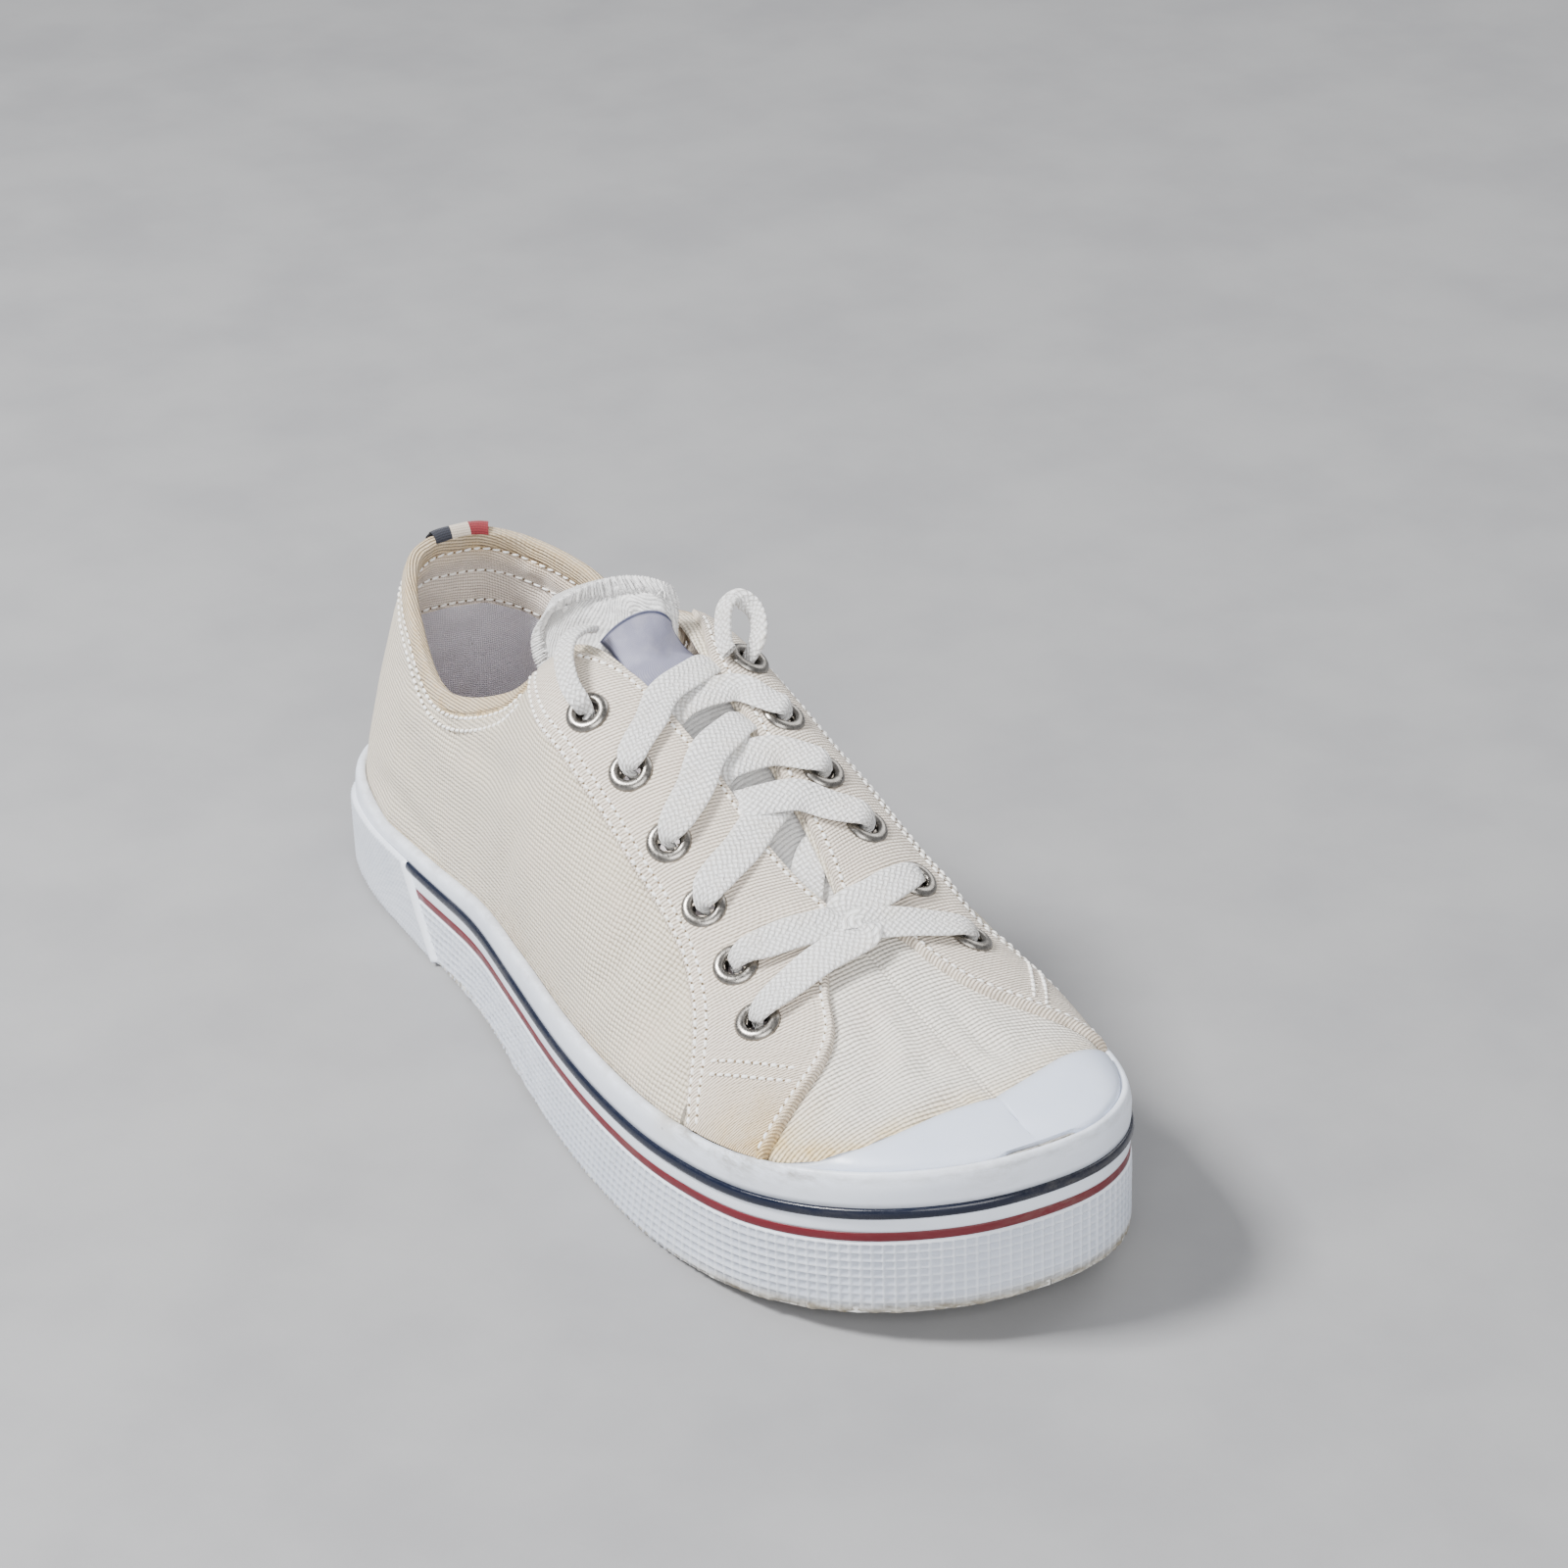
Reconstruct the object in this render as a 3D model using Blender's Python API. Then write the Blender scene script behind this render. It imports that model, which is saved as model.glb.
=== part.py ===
import math

import bmesh
import bpy
import numpy as np

# Low canvas lace-up sneaker, right shoe, standing empty on its sole.
# Working frame in millimetres: X runs from the heel to the toe, Y toward the medial
# side, Z up from the floor. place() moves it to the middle of the sole, in metres.

# Main sizes of the shoe.
SOLE_L = 300.0          # outsole, heel to toe
DRAWN_L = 300.0         # length that the tables below are drawn for
SIZE = SOLE_L / DRAWN_L
TOE_SPRING = 10.4       # how far the toe lifts off the floor
ARCH_LIFT = 1.4         # how far the waist lifts off the floor
HEEL_TOP = 88.5         # collar at the back of the heel
STRIPE_HEEL = 17.5      # blue line above the tread at the heel
STRIPE_MID = 28.2       # the same from the waist to the toe
STRIPE_APART = 6.3      # blue line to red line
FOX_T = 3.0             # rubber side band
CANVAS_T = 2.0          # canvas, lining and padding of the upper together
PANEL_T = 1.0           # eyestay overlay
CAP_T = 1.2             # rubber of the toe cap
PATCH_T = 1.1           # heel patch
PATCH_REACH = 80.2      # where its slanted front would meet the floor
GAP = 0.3               # clearance between pieces that touch
PANEL_GAP = 0.5         # the same over the curved upper
STAY_GAP = 0.7          # the same under the eyestays, which cross the collar step
BED_HEEL = 15.0         # top of the outsole under the heel
BED_TOE = 12.0          # the same at the toe
MARGIN = 14.0           # canvas turned in under the foot
INSOLE_T = 3.0
TONGUE_T = 3.2
RING_R = 5.6            # eyelet flange
RING_HOLE = 2.5
BARREL_R = 2.9
EYELET_HOLE = 3.3       # hole punched in canvas and eyestay
LACE_W = 8.6
LACE_T = 1.2

# Plan of the sole as shares of the length and half widths, from the heel round the
# lateral side to the toe and back along the medial side.
SOLE_PLAN = [
    (0.000, 0.0), (0.009, -18.0), (0.045, -30.6), (0.12, -36.8),
    (0.22, -38.9), (0.34, -41.0), (0.46, -47.0), (0.58, -52.3),
    (0.68, -54.3), (0.77, -52.9), (0.86, -46.8), (0.935, -33.1),
    (0.985, -13.3), (1.000, 6.5), (0.99, 24.1), (0.95, 38.8),
    (0.88, 47.8), (0.79, 52.9), (0.69, 51.6), (0.58, 45.3),
    (0.46, 39.6), (0.34, 39.0), (0.22, 40.5), (0.12, 38.6),
    (0.045, 31.4), (0.009, 18.5),
]
STATIONS = len(SOLE_PLAN)
FRONT_L = 9             # plan point whose rib ends at the front of the throat
FRONT_M = 17
TOE = 13

# Edge of collar and throat, from the throat front along the lateral side, round
# the heel and back along the medial side. One point for each plan point.
EDGE_LATERAL = [
    (12.0, 5.0, HEEL_TOP), (12.6, -3.5, 88.2), (19.5, -12.0, 86.6), (38.0, -20.5, 81.2),
    (66.0, -26.5, 73.2), (97.0, -21.5, 83.6), (121.0, -10.5, 104.0), (160.0, -5.5, 94.8),
    (196.0, -2.0, 76.0),
]
EDGE_MEDIAL = [
    (196.0, 7.5, 77.6), (160.0, 9.5, 94.6), (122.0, 13.0, 105.6), (97.0, 26.5, 88.0),
    (66.0, 33.0, 76.0), (38.0, 33.0, 79.6), (19.5, 26.0, 83.2), (12.6, 14.5, 87.4),
]
# Ridge of the vamp, from the throat front to the toe.
RIDGE = [(218.0, 4.0, 66.0), (245.0, 6.0, 56.6), (268.0, 7.0, 50.6), (282.0, 7.0, 47.9), (288.5, 7.0, 46.2)]
# How full each rib is between the sole and the top edge: 1 is straight, 2 is round.
FULLNESS = [
    1.35, 1.25, 1.15, 1.15, 1.3, 1.6, 2.1, 1.75, 1.5, 1.42, 1.5, 1.8, 2.0,
    2.0, 2.0, 2.0, 1.8, 1.7, 1.9, 2.1, 2.2, 1.7, 1.3, 1.2, 1.2, 1.3,
]
# White band above the blue line, as shares of the length and heights.
BAND_SHARE = [0.0, 0.03, 0.065, 0.137, 0.25, 0.5, 1.0]
BAND_HEIGHT = [13.0, 10.8, 8.2, 4.2, 5.2, 8.3, 9.2]

# Eyelets as plan positions of the rib and shares up the rib, top row first.
EYELETS_LATERAL = [(6.41, 0.74), (6.91, 0.72), (7.43, 0.68), (7.93, 0.65), (8.50, 0.60), (9.16, 0.52)]
EYELETS_MEDIAL = [(19.53, 0.81), (19.02, 0.83), (18.56, 0.81), (18.13, 0.76), (17.65, 0.67), (16.98, 0.57)]

COLOURS = {
    "outsole": ((0.80, 0.80, 0.79), 0.6),
    "foxing": ((0.83, 0.84, 0.85), 0.45),
    "blue_line": ((0.012, 0.02, 0.055), 0.3),
    "red_line": ((0.23, 0.025, 0.035), 0.4),
    "heel_patch": ((0.82, 0.83, 0.84), 0.55),
    "toe_cap": ((0.80, 0.82, 0.85), 0.4),
    "upper": ((0.78, 0.72, 0.62), 0.9),
    "eyestay": ((0.80, 0.735, 0.65), 0.9),
    "tongue": ((0.80, 0.80, 0.79), 0.95),
    "tongue_label": ((0.52, 0.52, 0.60), 0.5),
    "insole": ((0.60, 0.58, 0.56), 0.9),
    "heel_tape": ((0.70, 0.68, 0.66), 0.8),
    "eyelet": ((0.55, 0.54, 0.52), 0.35),
    "lace": ((0.80, 0.78, 0.74), 0.85),
}


def curve_at(points, u, closed):
    """Smooth curve through hand-chosen points; u counts the points."""
    p = np.asarray(points, float)
    if p.ndim == 1:
        p = p[:, None]
    m = len(p)
    u = np.atleast_1d(np.asarray(u, float))
    if closed:
        u = np.mod(u, m)
        i = np.floor(u).astype(int)
        near = [p[(i + k) % m] for k in (-1, 0, 1, 2)]
    else:
        u = np.clip(u, 0.0, m - 1.0)
        i = np.minimum(np.floor(u).astype(int), m - 2)
        near = [p[np.clip(i + k, 0, m - 1)] for k in (-1, 0, 1, 2)]
    t = (u - i)[:, None]
    a, b, c, d = near
    return 0.5 * (2 * b + (c - a) * t + (2 * a - 5 * b + 4 * c - d) * t**2 + (3 * b - a - 3 * c + d) * t**3)


PLAN_MM = [(share * SOLE_L, y * SIZE) for share, y in SOLE_PLAN]


def resized(points):
    """Hand-chosen points moved with the length of the shoe; heights have their own values."""
    return [(x * SIZE, y * SIZE, z) for x, y, z in points]


def plan(u, inset=0.0):
    """Plan curve of the sole, moved inward."""
    q = curve_at(PLAN_MM, u, True)
    step = 0.02
    d = curve_at(PLAN_MM, np.asarray(u) + step, True) - curve_at(PLAN_MM, np.asarray(u) - step, True)
    out = np.stack([d[:, 1], -d[:, 0]], 1)
    out /= np.linalg.norm(out, axis=1)[:, None]
    return q - out * np.reshape(inset, (-1, 1))


def under(x):
    """Height of the tread above the floor: flat heel and ball, arch and toe spring."""
    s = np.asarray(x) / SOLE_L
    toe = np.clip((s - 0.70) / 0.30, 0.0, None)
    arch = np.clip((s - 0.27) / 0.30, 0.0, 1.0)
    return TOE_SPRING * toe**2 + ARCH_LIFT * np.sin(math.pi * arch)**2


def stripe_height(x):
    s = np.clip(np.asarray(x) / SOLE_L, 0.0, 1.0)
    ease = 1.0 - np.clip(1.0 - s / 0.55, 0.0, 1.0)**1.25
    late = np.clip((s - 0.75) / 0.25, 0.0, 1.0)
    return STRIPE_HEEL + (STRIPE_MID - STRIPE_HEEL) * ease - 0.7 * late


def fox_top(x):
    s = np.clip(np.asarray(x) / SOLE_L, 0.0, 1.0)
    return under(x) + stripe_height(x) + np.interp(s, BAND_SHARE, BAND_HEIGHT)


def bed(x):
    s = np.clip(np.asarray(x) / SOLE_L, 0.0, 1.0)
    return under(x) + BED_HEEL + (BED_TOE - BED_HEEL) * s


CREST = resized(RIDGE)
THROAT = [CREST[0]] + resized(EDGE_LATERAL[::-1] + EDGE_MEDIAL[::-1]) + [CREST[0]]


def edge(u):
    """Top end of each rib: throat and collar edge, or the ridge of the vamp."""
    u = np.mod(np.atleast_1d(np.asarray(u, float)), STATIONS)
    ahead = (u >= FRONT_L) & (u <= FRONT_M)
    along = np.where(u < FRONT_L, FRONT_L - u, FRONT_L + STATIONS - u)
    rim = curve_at(THROAT, along, False)
    crest = curve_at(CREST, np.where(u <= TOE, u - FRONT_L, FRONT_M - u), False)
    return np.where(ahead[:, None], crest, rim)


def rib(u, w):
    """Outside of the canvas: u names the rib round the sole, w runs up it."""
    u = np.atleast_1d(np.asarray(u, float))
    w = np.broadcast_to(np.asarray(w, float), u.shape)
    foot = plan(u, FOX_T + GAP)
    z = fox_top(plan(u)[:, 0])
    top = edge(u)
    power = 2.0 / curve_at(FULLNESS, u, True)[:, 0]
    angle = 0.5 * math.pi * np.clip(w, 0.0, 1.0)
    across = 1.0 - np.clip(np.cos(angle), 0.0, 1.0)**power
    up = np.clip(np.sin(angle), 0.0, 1.0)**power
    xy = foot + (top[:, :2] - foot) * across[:, None]
    return np.column_stack([xy, z + (top[:, 2] - z) * up])


def rib_normal(u, w):
    u = np.atleast_1d(np.asarray(u, float))
    w = np.broadcast_to(np.asarray(w, float), u.shape)
    w0 = np.clip(w - 0.02, 0.0, 1.0)
    w1 = np.clip(w + 0.02, 0.0, 1.0)
    along = rib(u + 0.02, w) - rib(u - 0.02, w)
    rise = rib(u, w1) - rib(u, w0)
    n = np.cross(along, rise)
    return n / np.linalg.norm(n, axis=1)[:, None]


X_MID = 0.5 * SOLE_L
PLAN_FINE = plan(np.arange(0.0, STATIONS, 0.1))
Y_MID = 0.5 * (PLAN_FINE[:, 1].min() + PLAN_FINE[:, 1].max())


def place(p):
    p = np.asarray(p, float).reshape(-1, 3)
    return (p - np.array([X_MID, Y_MID, 0.0])) * 0.001


def finish(name, mesh_points, faces, look, smooth=True):
    """One closed body from points and faces, joined, turned outward and coloured."""
    mesh = bpy.data.meshes.new(name)
    mesh.from_pydata([tuple(v) for v in place(mesh_points)], [], faces)
    bm = bmesh.new()
    bm.from_mesh(mesh)
    bmesh.ops.remove_doubles(bm, verts=bm.verts, dist=0.00002)
    bmesh.ops.dissolve_degenerate(bm, edges=bm.edges, dist=0.00001)
    bmesh.ops.recalc_face_normals(bm, faces=bm.faces)
    bm.to_mesh(mesh)
    bm.free()
    mesh.update()
    ob = bpy.data.objects.new(name, mesh)
    parts.objects.link(ob)
    colour, rough = COLOURS[look]
    mat = bpy.data.materials.new(name)
    mat.use_nodes = True
    shader = mat.node_tree.nodes["Principled BSDF"]
    shader.inputs["Base Color"].default_value = (*colour, 1.0)
    shader.inputs["Roughness"].default_value = rough
    if look == "eyelet":
        shader.inputs["Metallic"].default_value = 1.0
    mesh.materials.append(mat)
    for poly in mesh.polygons:
        poly.use_smooth = smooth
    return ob


def grid_faces(rows, cols, closed):
    """Quads of a grid stored row by row."""
    faces = []
    last = cols if closed else cols - 1
    for r in range(rows - 1):
        for c in range(last):
            d = (c + 1) % cols
            faces.append((r * cols + c, r * cols + d, (r + 1) * cols + d, (r + 1) * cols + c))
    return faces


def split(faces):
    """Quads cut along their first diagonal, so that pieces laid on each other match."""
    out = []
    for a, b, c, d in faces:
        out.append((a, b, c))
        out.append((a, c, d))
    return out


def weld(points, faces, dist=0.02):
    """Join points that lie together and drop what collapses."""
    key = {}
    index = []
    kept = []
    for p in points:
        k = tuple(np.round(p / dist).astype(int))
        if k not in key:
            key[k] = len(kept)
            kept.append(p)
        index.append(key[k])
    out = []
    for f in faces:
        g = []
        for v in f:
            if index[v] not in g:
                g.append(index[v])
        if len(g) > 2:
            out.append(tuple(g))
    return np.array(kept), out


def sheet_normals(points, faces):
    n = np.zeros_like(points)
    for f in faces:
        p = points[list(f)]
        c = np.zeros(3)
        for k in range(1, len(f) - 1):
            c += np.cross(p[k] - p[0], p[k + 1] - p[0])
        for v in f:
            n[v] += c
    return n / np.maximum(np.linalg.norm(n, axis=1), 1e-9)[:, None]


def thicken(points, faces, outer, inner):
    """Closed solid between two distances along the sheet's own normals."""
    n = sheet_normals(points, faces)
    m = len(points)
    both = np.vstack([points + n * np.reshape(outer, (-1, 1)), points + n * np.reshape(inner, (-1, 1))])
    out = list(faces) + [tuple(v + m for v in reversed(f)) for f in faces]
    edges = {}
    for f in faces:
        for a, b in zip(f, f[1:] + f[:1]):
            edges[(a, b)] = edges.get((a, b), 0) + 1
    for a, b in edges:
        if (b, a) not in edges:
            out.append((b, a, a + m, b + m))
    return both, out


def ring_solid(name, loops, look):
    """Solid swept round the sole: loops of equal length, the last joined to the first."""
    cols = len(loops[0])
    points = np.vstack(loops + [loops[0]])
    return finish(name, points, grid_faces(len(loops) + 1, cols, True), look)


def slab(name, loops, look):
    """Solid of stacked closed loops with its first and last loop filled across."""
    cols = len(loops[0])
    points = np.vstack(loops)
    faces = grid_faces(len(loops), cols, True)
    top = (len(loops) - 1) * cols
    half = cols // 2
    for k in range(half):
        a, b, c, d = k, k + 1, (cols - k - 1) % cols, (cols - k) % cols
        low = [a, b, c, d]
        low = [v for n, v in enumerate(low) if v not in low[:n]]
        if len(low) > 2:
            faces.append(tuple(reversed(low)))
            faces.append(tuple(v + top for v in low))
    return finish(name, points, faces, look)


def band_solid(name, spans, look):
    """Open swept strip: a list of section loops along it, both ends filled."""
    cols = len(spans[0])
    points = np.vstack(spans)
    faces = grid_faces(len(spans), cols, True)
    last = (len(spans) - 1) * cols
    faces.append(tuple(reversed(range(cols))))
    faces.append(tuple(last + k for k in range(cols)))
    return finish(name, points, faces, look)


for old in list(bpy.data.objects):
    bpy.data.objects.remove(old, do_unlink=True)
parts = bpy.data.collections.new("canvas_sneaker_right")
bpy.context.scene.collection.children.link(parts)
cutters = bpy.data.collections.new("cutters")
bpy.context.scene.collection.children.link(cutters)

ROUND = np.arange(0.0, STATIONS, 0.5)
PLAN_X = plan(ROUND)[:, 0]


def loop(inset, height):
    return np.column_stack([plan(ROUND, inset), np.broadcast_to(height, PLAN_X.shape)])


def bed_loop(inset, rise):
    """Loop that lies a set height above the top of the outsole."""
    return loop(inset, bed(plan(ROUND, inset)[:, 0]) + rise)


# Outsole: tread plate as wide as the side band, core inside the band, and a raised
# field that fills the ring left by the canvas turned in under the foot.
tread = under(PLAN_X)
core = FOX_T + GAP
slab("outsole", [
    loop(1.0, tread), loop(0.0, tread + 0.8), loop(0.0, tread + 2.2), loop(core, tread + 2.2),
    bed_loop(core, 0.0), bed_loop(MARGIN + 4.0, 0.0), bed_loop(MARGIN + 4.4, CANVAS_T),
], "outsole")

# Side band with a groove for each line and a softened top edge.
stripe = tread + stripe_height(PLAN_X)
red = stripe - STRIPE_APART
rim = fox_top(PLAN_X)
LINE_HALF = 1.15
groove = LINE_HALF + GAP
ring_solid("foxing", [
    loop(0.0, tread + 2.5), loop(0.0, red - groove), loop(0.8, red - groove), loop(0.8, red + groove),
    loop(0.0, red + groove), loop(0.0, stripe - groove), loop(0.5, stripe - groove),
    loop(0.5, stripe + groove), loop(0.0, stripe + groove), loop(0.4, rim - 1.1),
    loop(1.0, rim - 0.3), loop(1.8, rim), loop(FOX_T, rim), loop(FOX_T, tread + 2.5),
], "foxing")


def patch_front(height):
    """Slanted front edge of the heel patch."""
    return PATCH_REACH * SIZE - 0.775 * height


def line_ends(height_of):
    """Plan positions where a line meets the heel patch on both sides."""
    ends = []
    for side in (np.arange(1.0, 7.0, 0.01), np.arange(25.0, 19.0, -0.01)):
        q = plan(side)
        reach = q[:, 0] - patch_front(height_of(q[:, 0])) - 0.6
        ends.append(side[np.argmax(reach > 0.0)])
    return ends


def line_strip(name, height_of, section, look):
    start, stop = line_ends(height_of)
    inner = ROUND[(ROUND > start + 0.12) & (ROUND < stop - 0.12)]
    u = np.concatenate([[start], inner, [stop]])
    base = plan(u)[:, 0]
    z = under(base) + height_of(base)
    spans = []
    for k in range(len(u)):
        here = [np.append(plan(u[k], d)[0], z[k] + h) for d, h in section]
        spans.append(np.array(here))
    return band_solid(name, spans, look)


line_strip("blue_line", stripe_height, [
    (0.2, -LINE_HALF), (-0.35, -LINE_HALF), (-0.85, -0.45), (-0.85, 0.45), (-0.35, LINE_HALF), (0.2, LINE_HALF),
], "blue_line")
line_strip("red_line", lambda x: stripe_height(x) - STRIPE_APART, [
    (0.5, -LINE_HALF), (-0.05, -LINE_HALF), (-0.05, LINE_HALF), (0.5, LINE_HALF),
], "red_line")

# Heel patch round the back of the side band, with slanted front edges and a lip.
PATCH_ROWS = [0.0, 0.08, 0.5, 0.92, 1.0]
patch_points = []
for share in PATCH_ROWS:
    row = []
    for side in (1.0, -1.0):
        low = 0.9
        u_end = 4.0
        for step in range(6):
            x = plan(side * u_end)[0, 0]
            height = low + (stripe_height(x) + 1.4 - low) * share
            u_end = u_end + (patch_front(height) - x) / 32.0
        here = []
        for u_here in [0.0, 0.5, 1.0, 1.5, 2.0, 2.5, 3.0, 3.5, u_end]:
            px = plan(side * u_here)[0]
            top_here = stripe_height(px[0]) + 1.4 + 2.0 * (1.0 - u_here / u_end)
            here.append((px[0], px[1], side * u_here, under(px[0]) + low + (top_here - low) * share))
        row.append(here)
    patch_points.append(row[1][::-1][:-1] + row[0])
patch_u = np.array([[v[2] for v in row] for row in patch_points])
patch_z = np.array([[v[3] for v in row] for row in patch_points])
rows, cols = patch_u.shape


def patch_sheet(proud):
    q = plan(patch_u.ravel(), -np.ravel(proud))
    return np.column_stack([q, patch_z.ravel()])


PATCH_GAP = GAP + 0.12
lip = np.full((rows, cols), PATCH_GAP + PATCH_T)
lip[:, 0] += 0.5
lip[:, -1] += 0.5
lip[0, :] -= 0.5
lip[-1, :] -= 0.4
outer = patch_sheet(lip)
inner = patch_sheet(np.full((rows, cols), PATCH_GAP))
faces = grid_faces(rows, cols, False)
m = rows * cols
solid = [tuple(f) for f in faces] + [tuple(v + m for v in reversed(f)) for f in faces]
rimline = [c for c in range(cols)] + [r * cols + cols - 1 for r in range(1, rows)]
rimline += [(rows - 1) * cols + c for c in range(cols - 2, -1, -1)] + [r * cols for r in range(rows - 2, 0, -1)]
for a, b in zip(rimline, rimline[1:] + rimline[:1]):
    solid.append((b, a, a + m, b + m))
finish("heel_patch", np.vstack([outer, inner]), solid, "heel_patch")

# Upper: one sheet from the margin under the foot, up inside the side band and along
# the ribs to the collar, the throat and the ridge, then given its thickness.
BIND_H = 4.6
BIND_T = 0.7


def bind_share(u):
    """1 round the collar, 0 along the throat and the vamp."""
    u = np.mod(np.asarray(u, float), STATIONS)
    turn = np.minimum(u, STATIONS - u)
    return np.clip((6.05 - turn) / 0.3, 0.0, 1.0)


rib_rows = [0.0, 0.13, 0.28, 0.44, 0.60, 0.76, 0.895]
sheet_rows = [
    bed_loop(MARGIN + 3.3, GAP), bed_loop(5.2, GAP), bed_loop(core, GAP + 1.9),
    loop(core, rim - 3.0),
]
lift_rows = [np.zeros(len(ROUND))] * 4
for w in rib_rows:
    sheet_rows.append(rib(ROUND, w))
    lift_rows.append(np.zeros(len(ROUND)))
rib_len = np.linalg.norm(rib(ROUND, 1.0) - rib(ROUND, 0.9), axis=1) / 0.1
for back, thick in ((BIND_H, 0.0), (BIND_H - 0.4, BIND_T), (1.0, BIND_T), (0.0, 0.25)):
    w = 1.0 - np.clip(back / rib_len, 0.0, 0.098 - 0.012 * (BIND_H - back) / BIND_H)
    if back == 0.0:
        w = np.ones(len(ROUND))
    sheet_rows.append(rib(ROUND, w))
    lift_rows.append(thick * bind_share(ROUND))
sheet = np.vstack(sheet_rows)
lift = np.concatenate(lift_rows)
faces = grid_faces(len(sheet_rows), len(ROUND), True)
joined, joined_faces = weld(sheet, faces)
look_up = {tuple(np.round(p / 0.02).astype(int)): v for p, v in zip(sheet, lift)}
joined_lift = np.array([look_up[tuple(np.round(p / 0.02).astype(int))] for p in joined])
shell, shell_faces = thicken(joined, joined_faces, joined_lift, -CANVAS_T - joined_lift)
upper = finish("upper", shell, shell_faces, "upper")

# Eyestay overlays: strips of the upper's own surface between the throat and an
# outer seam, running down to the side band in front of the laces.
PANEL_INNER = [(5.80, 0.90), (6.15, 0.925), (6.55, 0.985), (7.1, 0.985), (7.7, 0.985), (8.3, 0.985), (8.78, 0.985)]
FRONT_LATERAL = [(9.18, 0.83), (9.47, 0.73), (9.75, 0.66), (9.92, 0.56), (10.02, 0.39), (10.09, 0.2), (10.10, 0.03)]
FRONT_MEDIAL = [(9.20, 0.84), (9.50, 0.79), (9.75, 0.72), (9.90, 0.60), (9.99, 0.44), (10.04, 0.2), (10.05, 0.03)]
PANEL_OUTER = [(5.42, 0.87), (5.62, 0.72), (5.95, 0.60), (6.40, 0.57), (6.85, 0.56), (7.25, 0.545), (7.60, 0.54),
               (7.95, 0.52), (8.25, 0.47), (8.50, 0.41), (8.73, 0.33), (8.93, 0.23), (9.08, 0.12), (9.13, 0.03)]


def panel_sheet(side):
    inner_line = PANEL_INNER + (FRONT_LATERAL if side < 0 else FRONT_MEDIAL)
    along = np.linspace(0.0, len(PANEL_OUTER) - 1.0, 24)
    a = curve_at(inner_line, along, False)
    b = curve_at(PANEL_OUTER, along, False)
    q = np.vstack([a + (b - a) * share for share in (0.0, 0.33, 0.67, 1.0)])
    u = q[:, 0] if side < 0 else STATIONS - q[:, 0]
    return rib(u, q[:, 1]), rib_normal(u, q[:, 1]), 4, 24


def two_skins(name, p, n, rows, cols, low, high, look):
    m = rows * cols
    faces = split(grid_faces(rows, cols, False))
    solid = [tuple(f) for f in faces] + [tuple(v + m for v in reversed(f)) for f in faces]
    line = [c for c in range(cols)] + [r * cols + cols - 1 for r in range(1, rows)]
    line += [(rows - 1) * cols + c for c in range(cols - 2, -1, -1)] + [r * cols for r in range(rows - 2, 0, -1)]
    for a, b in zip(line, line[1:] + line[:1]):
        solid.append((b, a, a + m, b + m))
    points = np.vstack([p + n * np.reshape(high, (-1, 1)), p + n * np.reshape(low, (-1, 1))])
    return finish(name, points, solid, look)


eyestays = []
for side, name in ((-1, "eyestay_lateral"), (1, "eyestay_medial")):
    p, n, rows, cols = panel_sheet(side)
    eyestays.append(two_skins(name, p, n, rows, cols, STAY_GAP, STAY_GAP + PANEL_T, "eyestay"))

# Toe cap over the front of the upper, up to its curved rear edge.
CAP_EDGE_U = [10.22, 10.6, 10.91, 11.1, 11.25, 11.47, 11.62, 14.42, 14.76, 15.1, 15.4, 15.65, 15.8]
CAP_LOW = 0.015
CAP_EDGE_W = [CAP_LOW, 0.12, 0.31, 0.5, 0.7, 0.9, 1.0, 1.0, 0.83, 0.66, 0.48, 0.26, CAP_LOW]
cap_u = np.concatenate([CAP_EDGE_U[:7], [11.9, 12.2, 12.5, 12.75, 13.0, 13.25, 13.5, 13.8, 14.1], CAP_EDGE_U[7:]])
cap_w = np.interp(cap_u, CAP_EDGE_U, CAP_EDGE_W)
cap_rows = []
for share in [0.0, 0.15, 0.36, 0.6, 0.82, 1.0]:
    w = CAP_LOW + (cap_w - CAP_LOW) * share
    cap_rows.append(rib(cap_u, w))
cap, cap_faces = weld(np.vstack(cap_rows), grid_faces(len(cap_rows), len(cap_u), False))
shell, shell_faces = thicken(cap, cap_faces, PANEL_GAP + CAP_T, PANEL_GAP)
finish("toe_cap", shell, shell_faces, "toe_cap")

# Insole on the margin and the raised field.
slab("insole", [
    bed_loop(core + CANVAS_T + 1.4, CANVAS_T + 2 * GAP + 0.2),
    bed_loop(core + CANVAS_T + 1.0, CANVAS_T + 2 * GAP + INSOLE_T),
], "insole")

# Lacing bed: a smooth surface across both eyelet rows and the throat between them.
ROWS = 6


def side_row(table, a):
    q = curve_at(table, a, False)
    return q[:, 0], q[:, 1]


def lacing_bed(a, c, depth):
    """a counts the eyelet rows from the top, c runs from the lateral to the medial row."""
    a = np.atleast_1d(np.asarray(a, float))
    c = np.broadcast_to(np.asarray(c, float), a.shape)
    lu, lw = side_row(EYELETS_LATERAL, a)
    mu, mw = side_row(EYELETS_MEDIAL, a)
    spots = []
    for u, w in ((lu, lw), (lu, 0.5 * (lw + 1.0)), (lu, np.full(len(a), 0.985))):
        spots.append(rib(u, w) + rib_normal(u, w) * depth)
    for u, w in ((mu, np.full(len(a), 0.985)), (mu, 0.5 * (mw + 1.0)), (mu, mw)):
        spots.append(rib(u, w) + rib_normal(u, w) * depth)
    spots = np.array(spots)
    out = []
    for k in range(len(a)):
        out.append(curve_at(spots[:, k], c[k] * 5.0, False)[0])
    return np.array(out)




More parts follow.
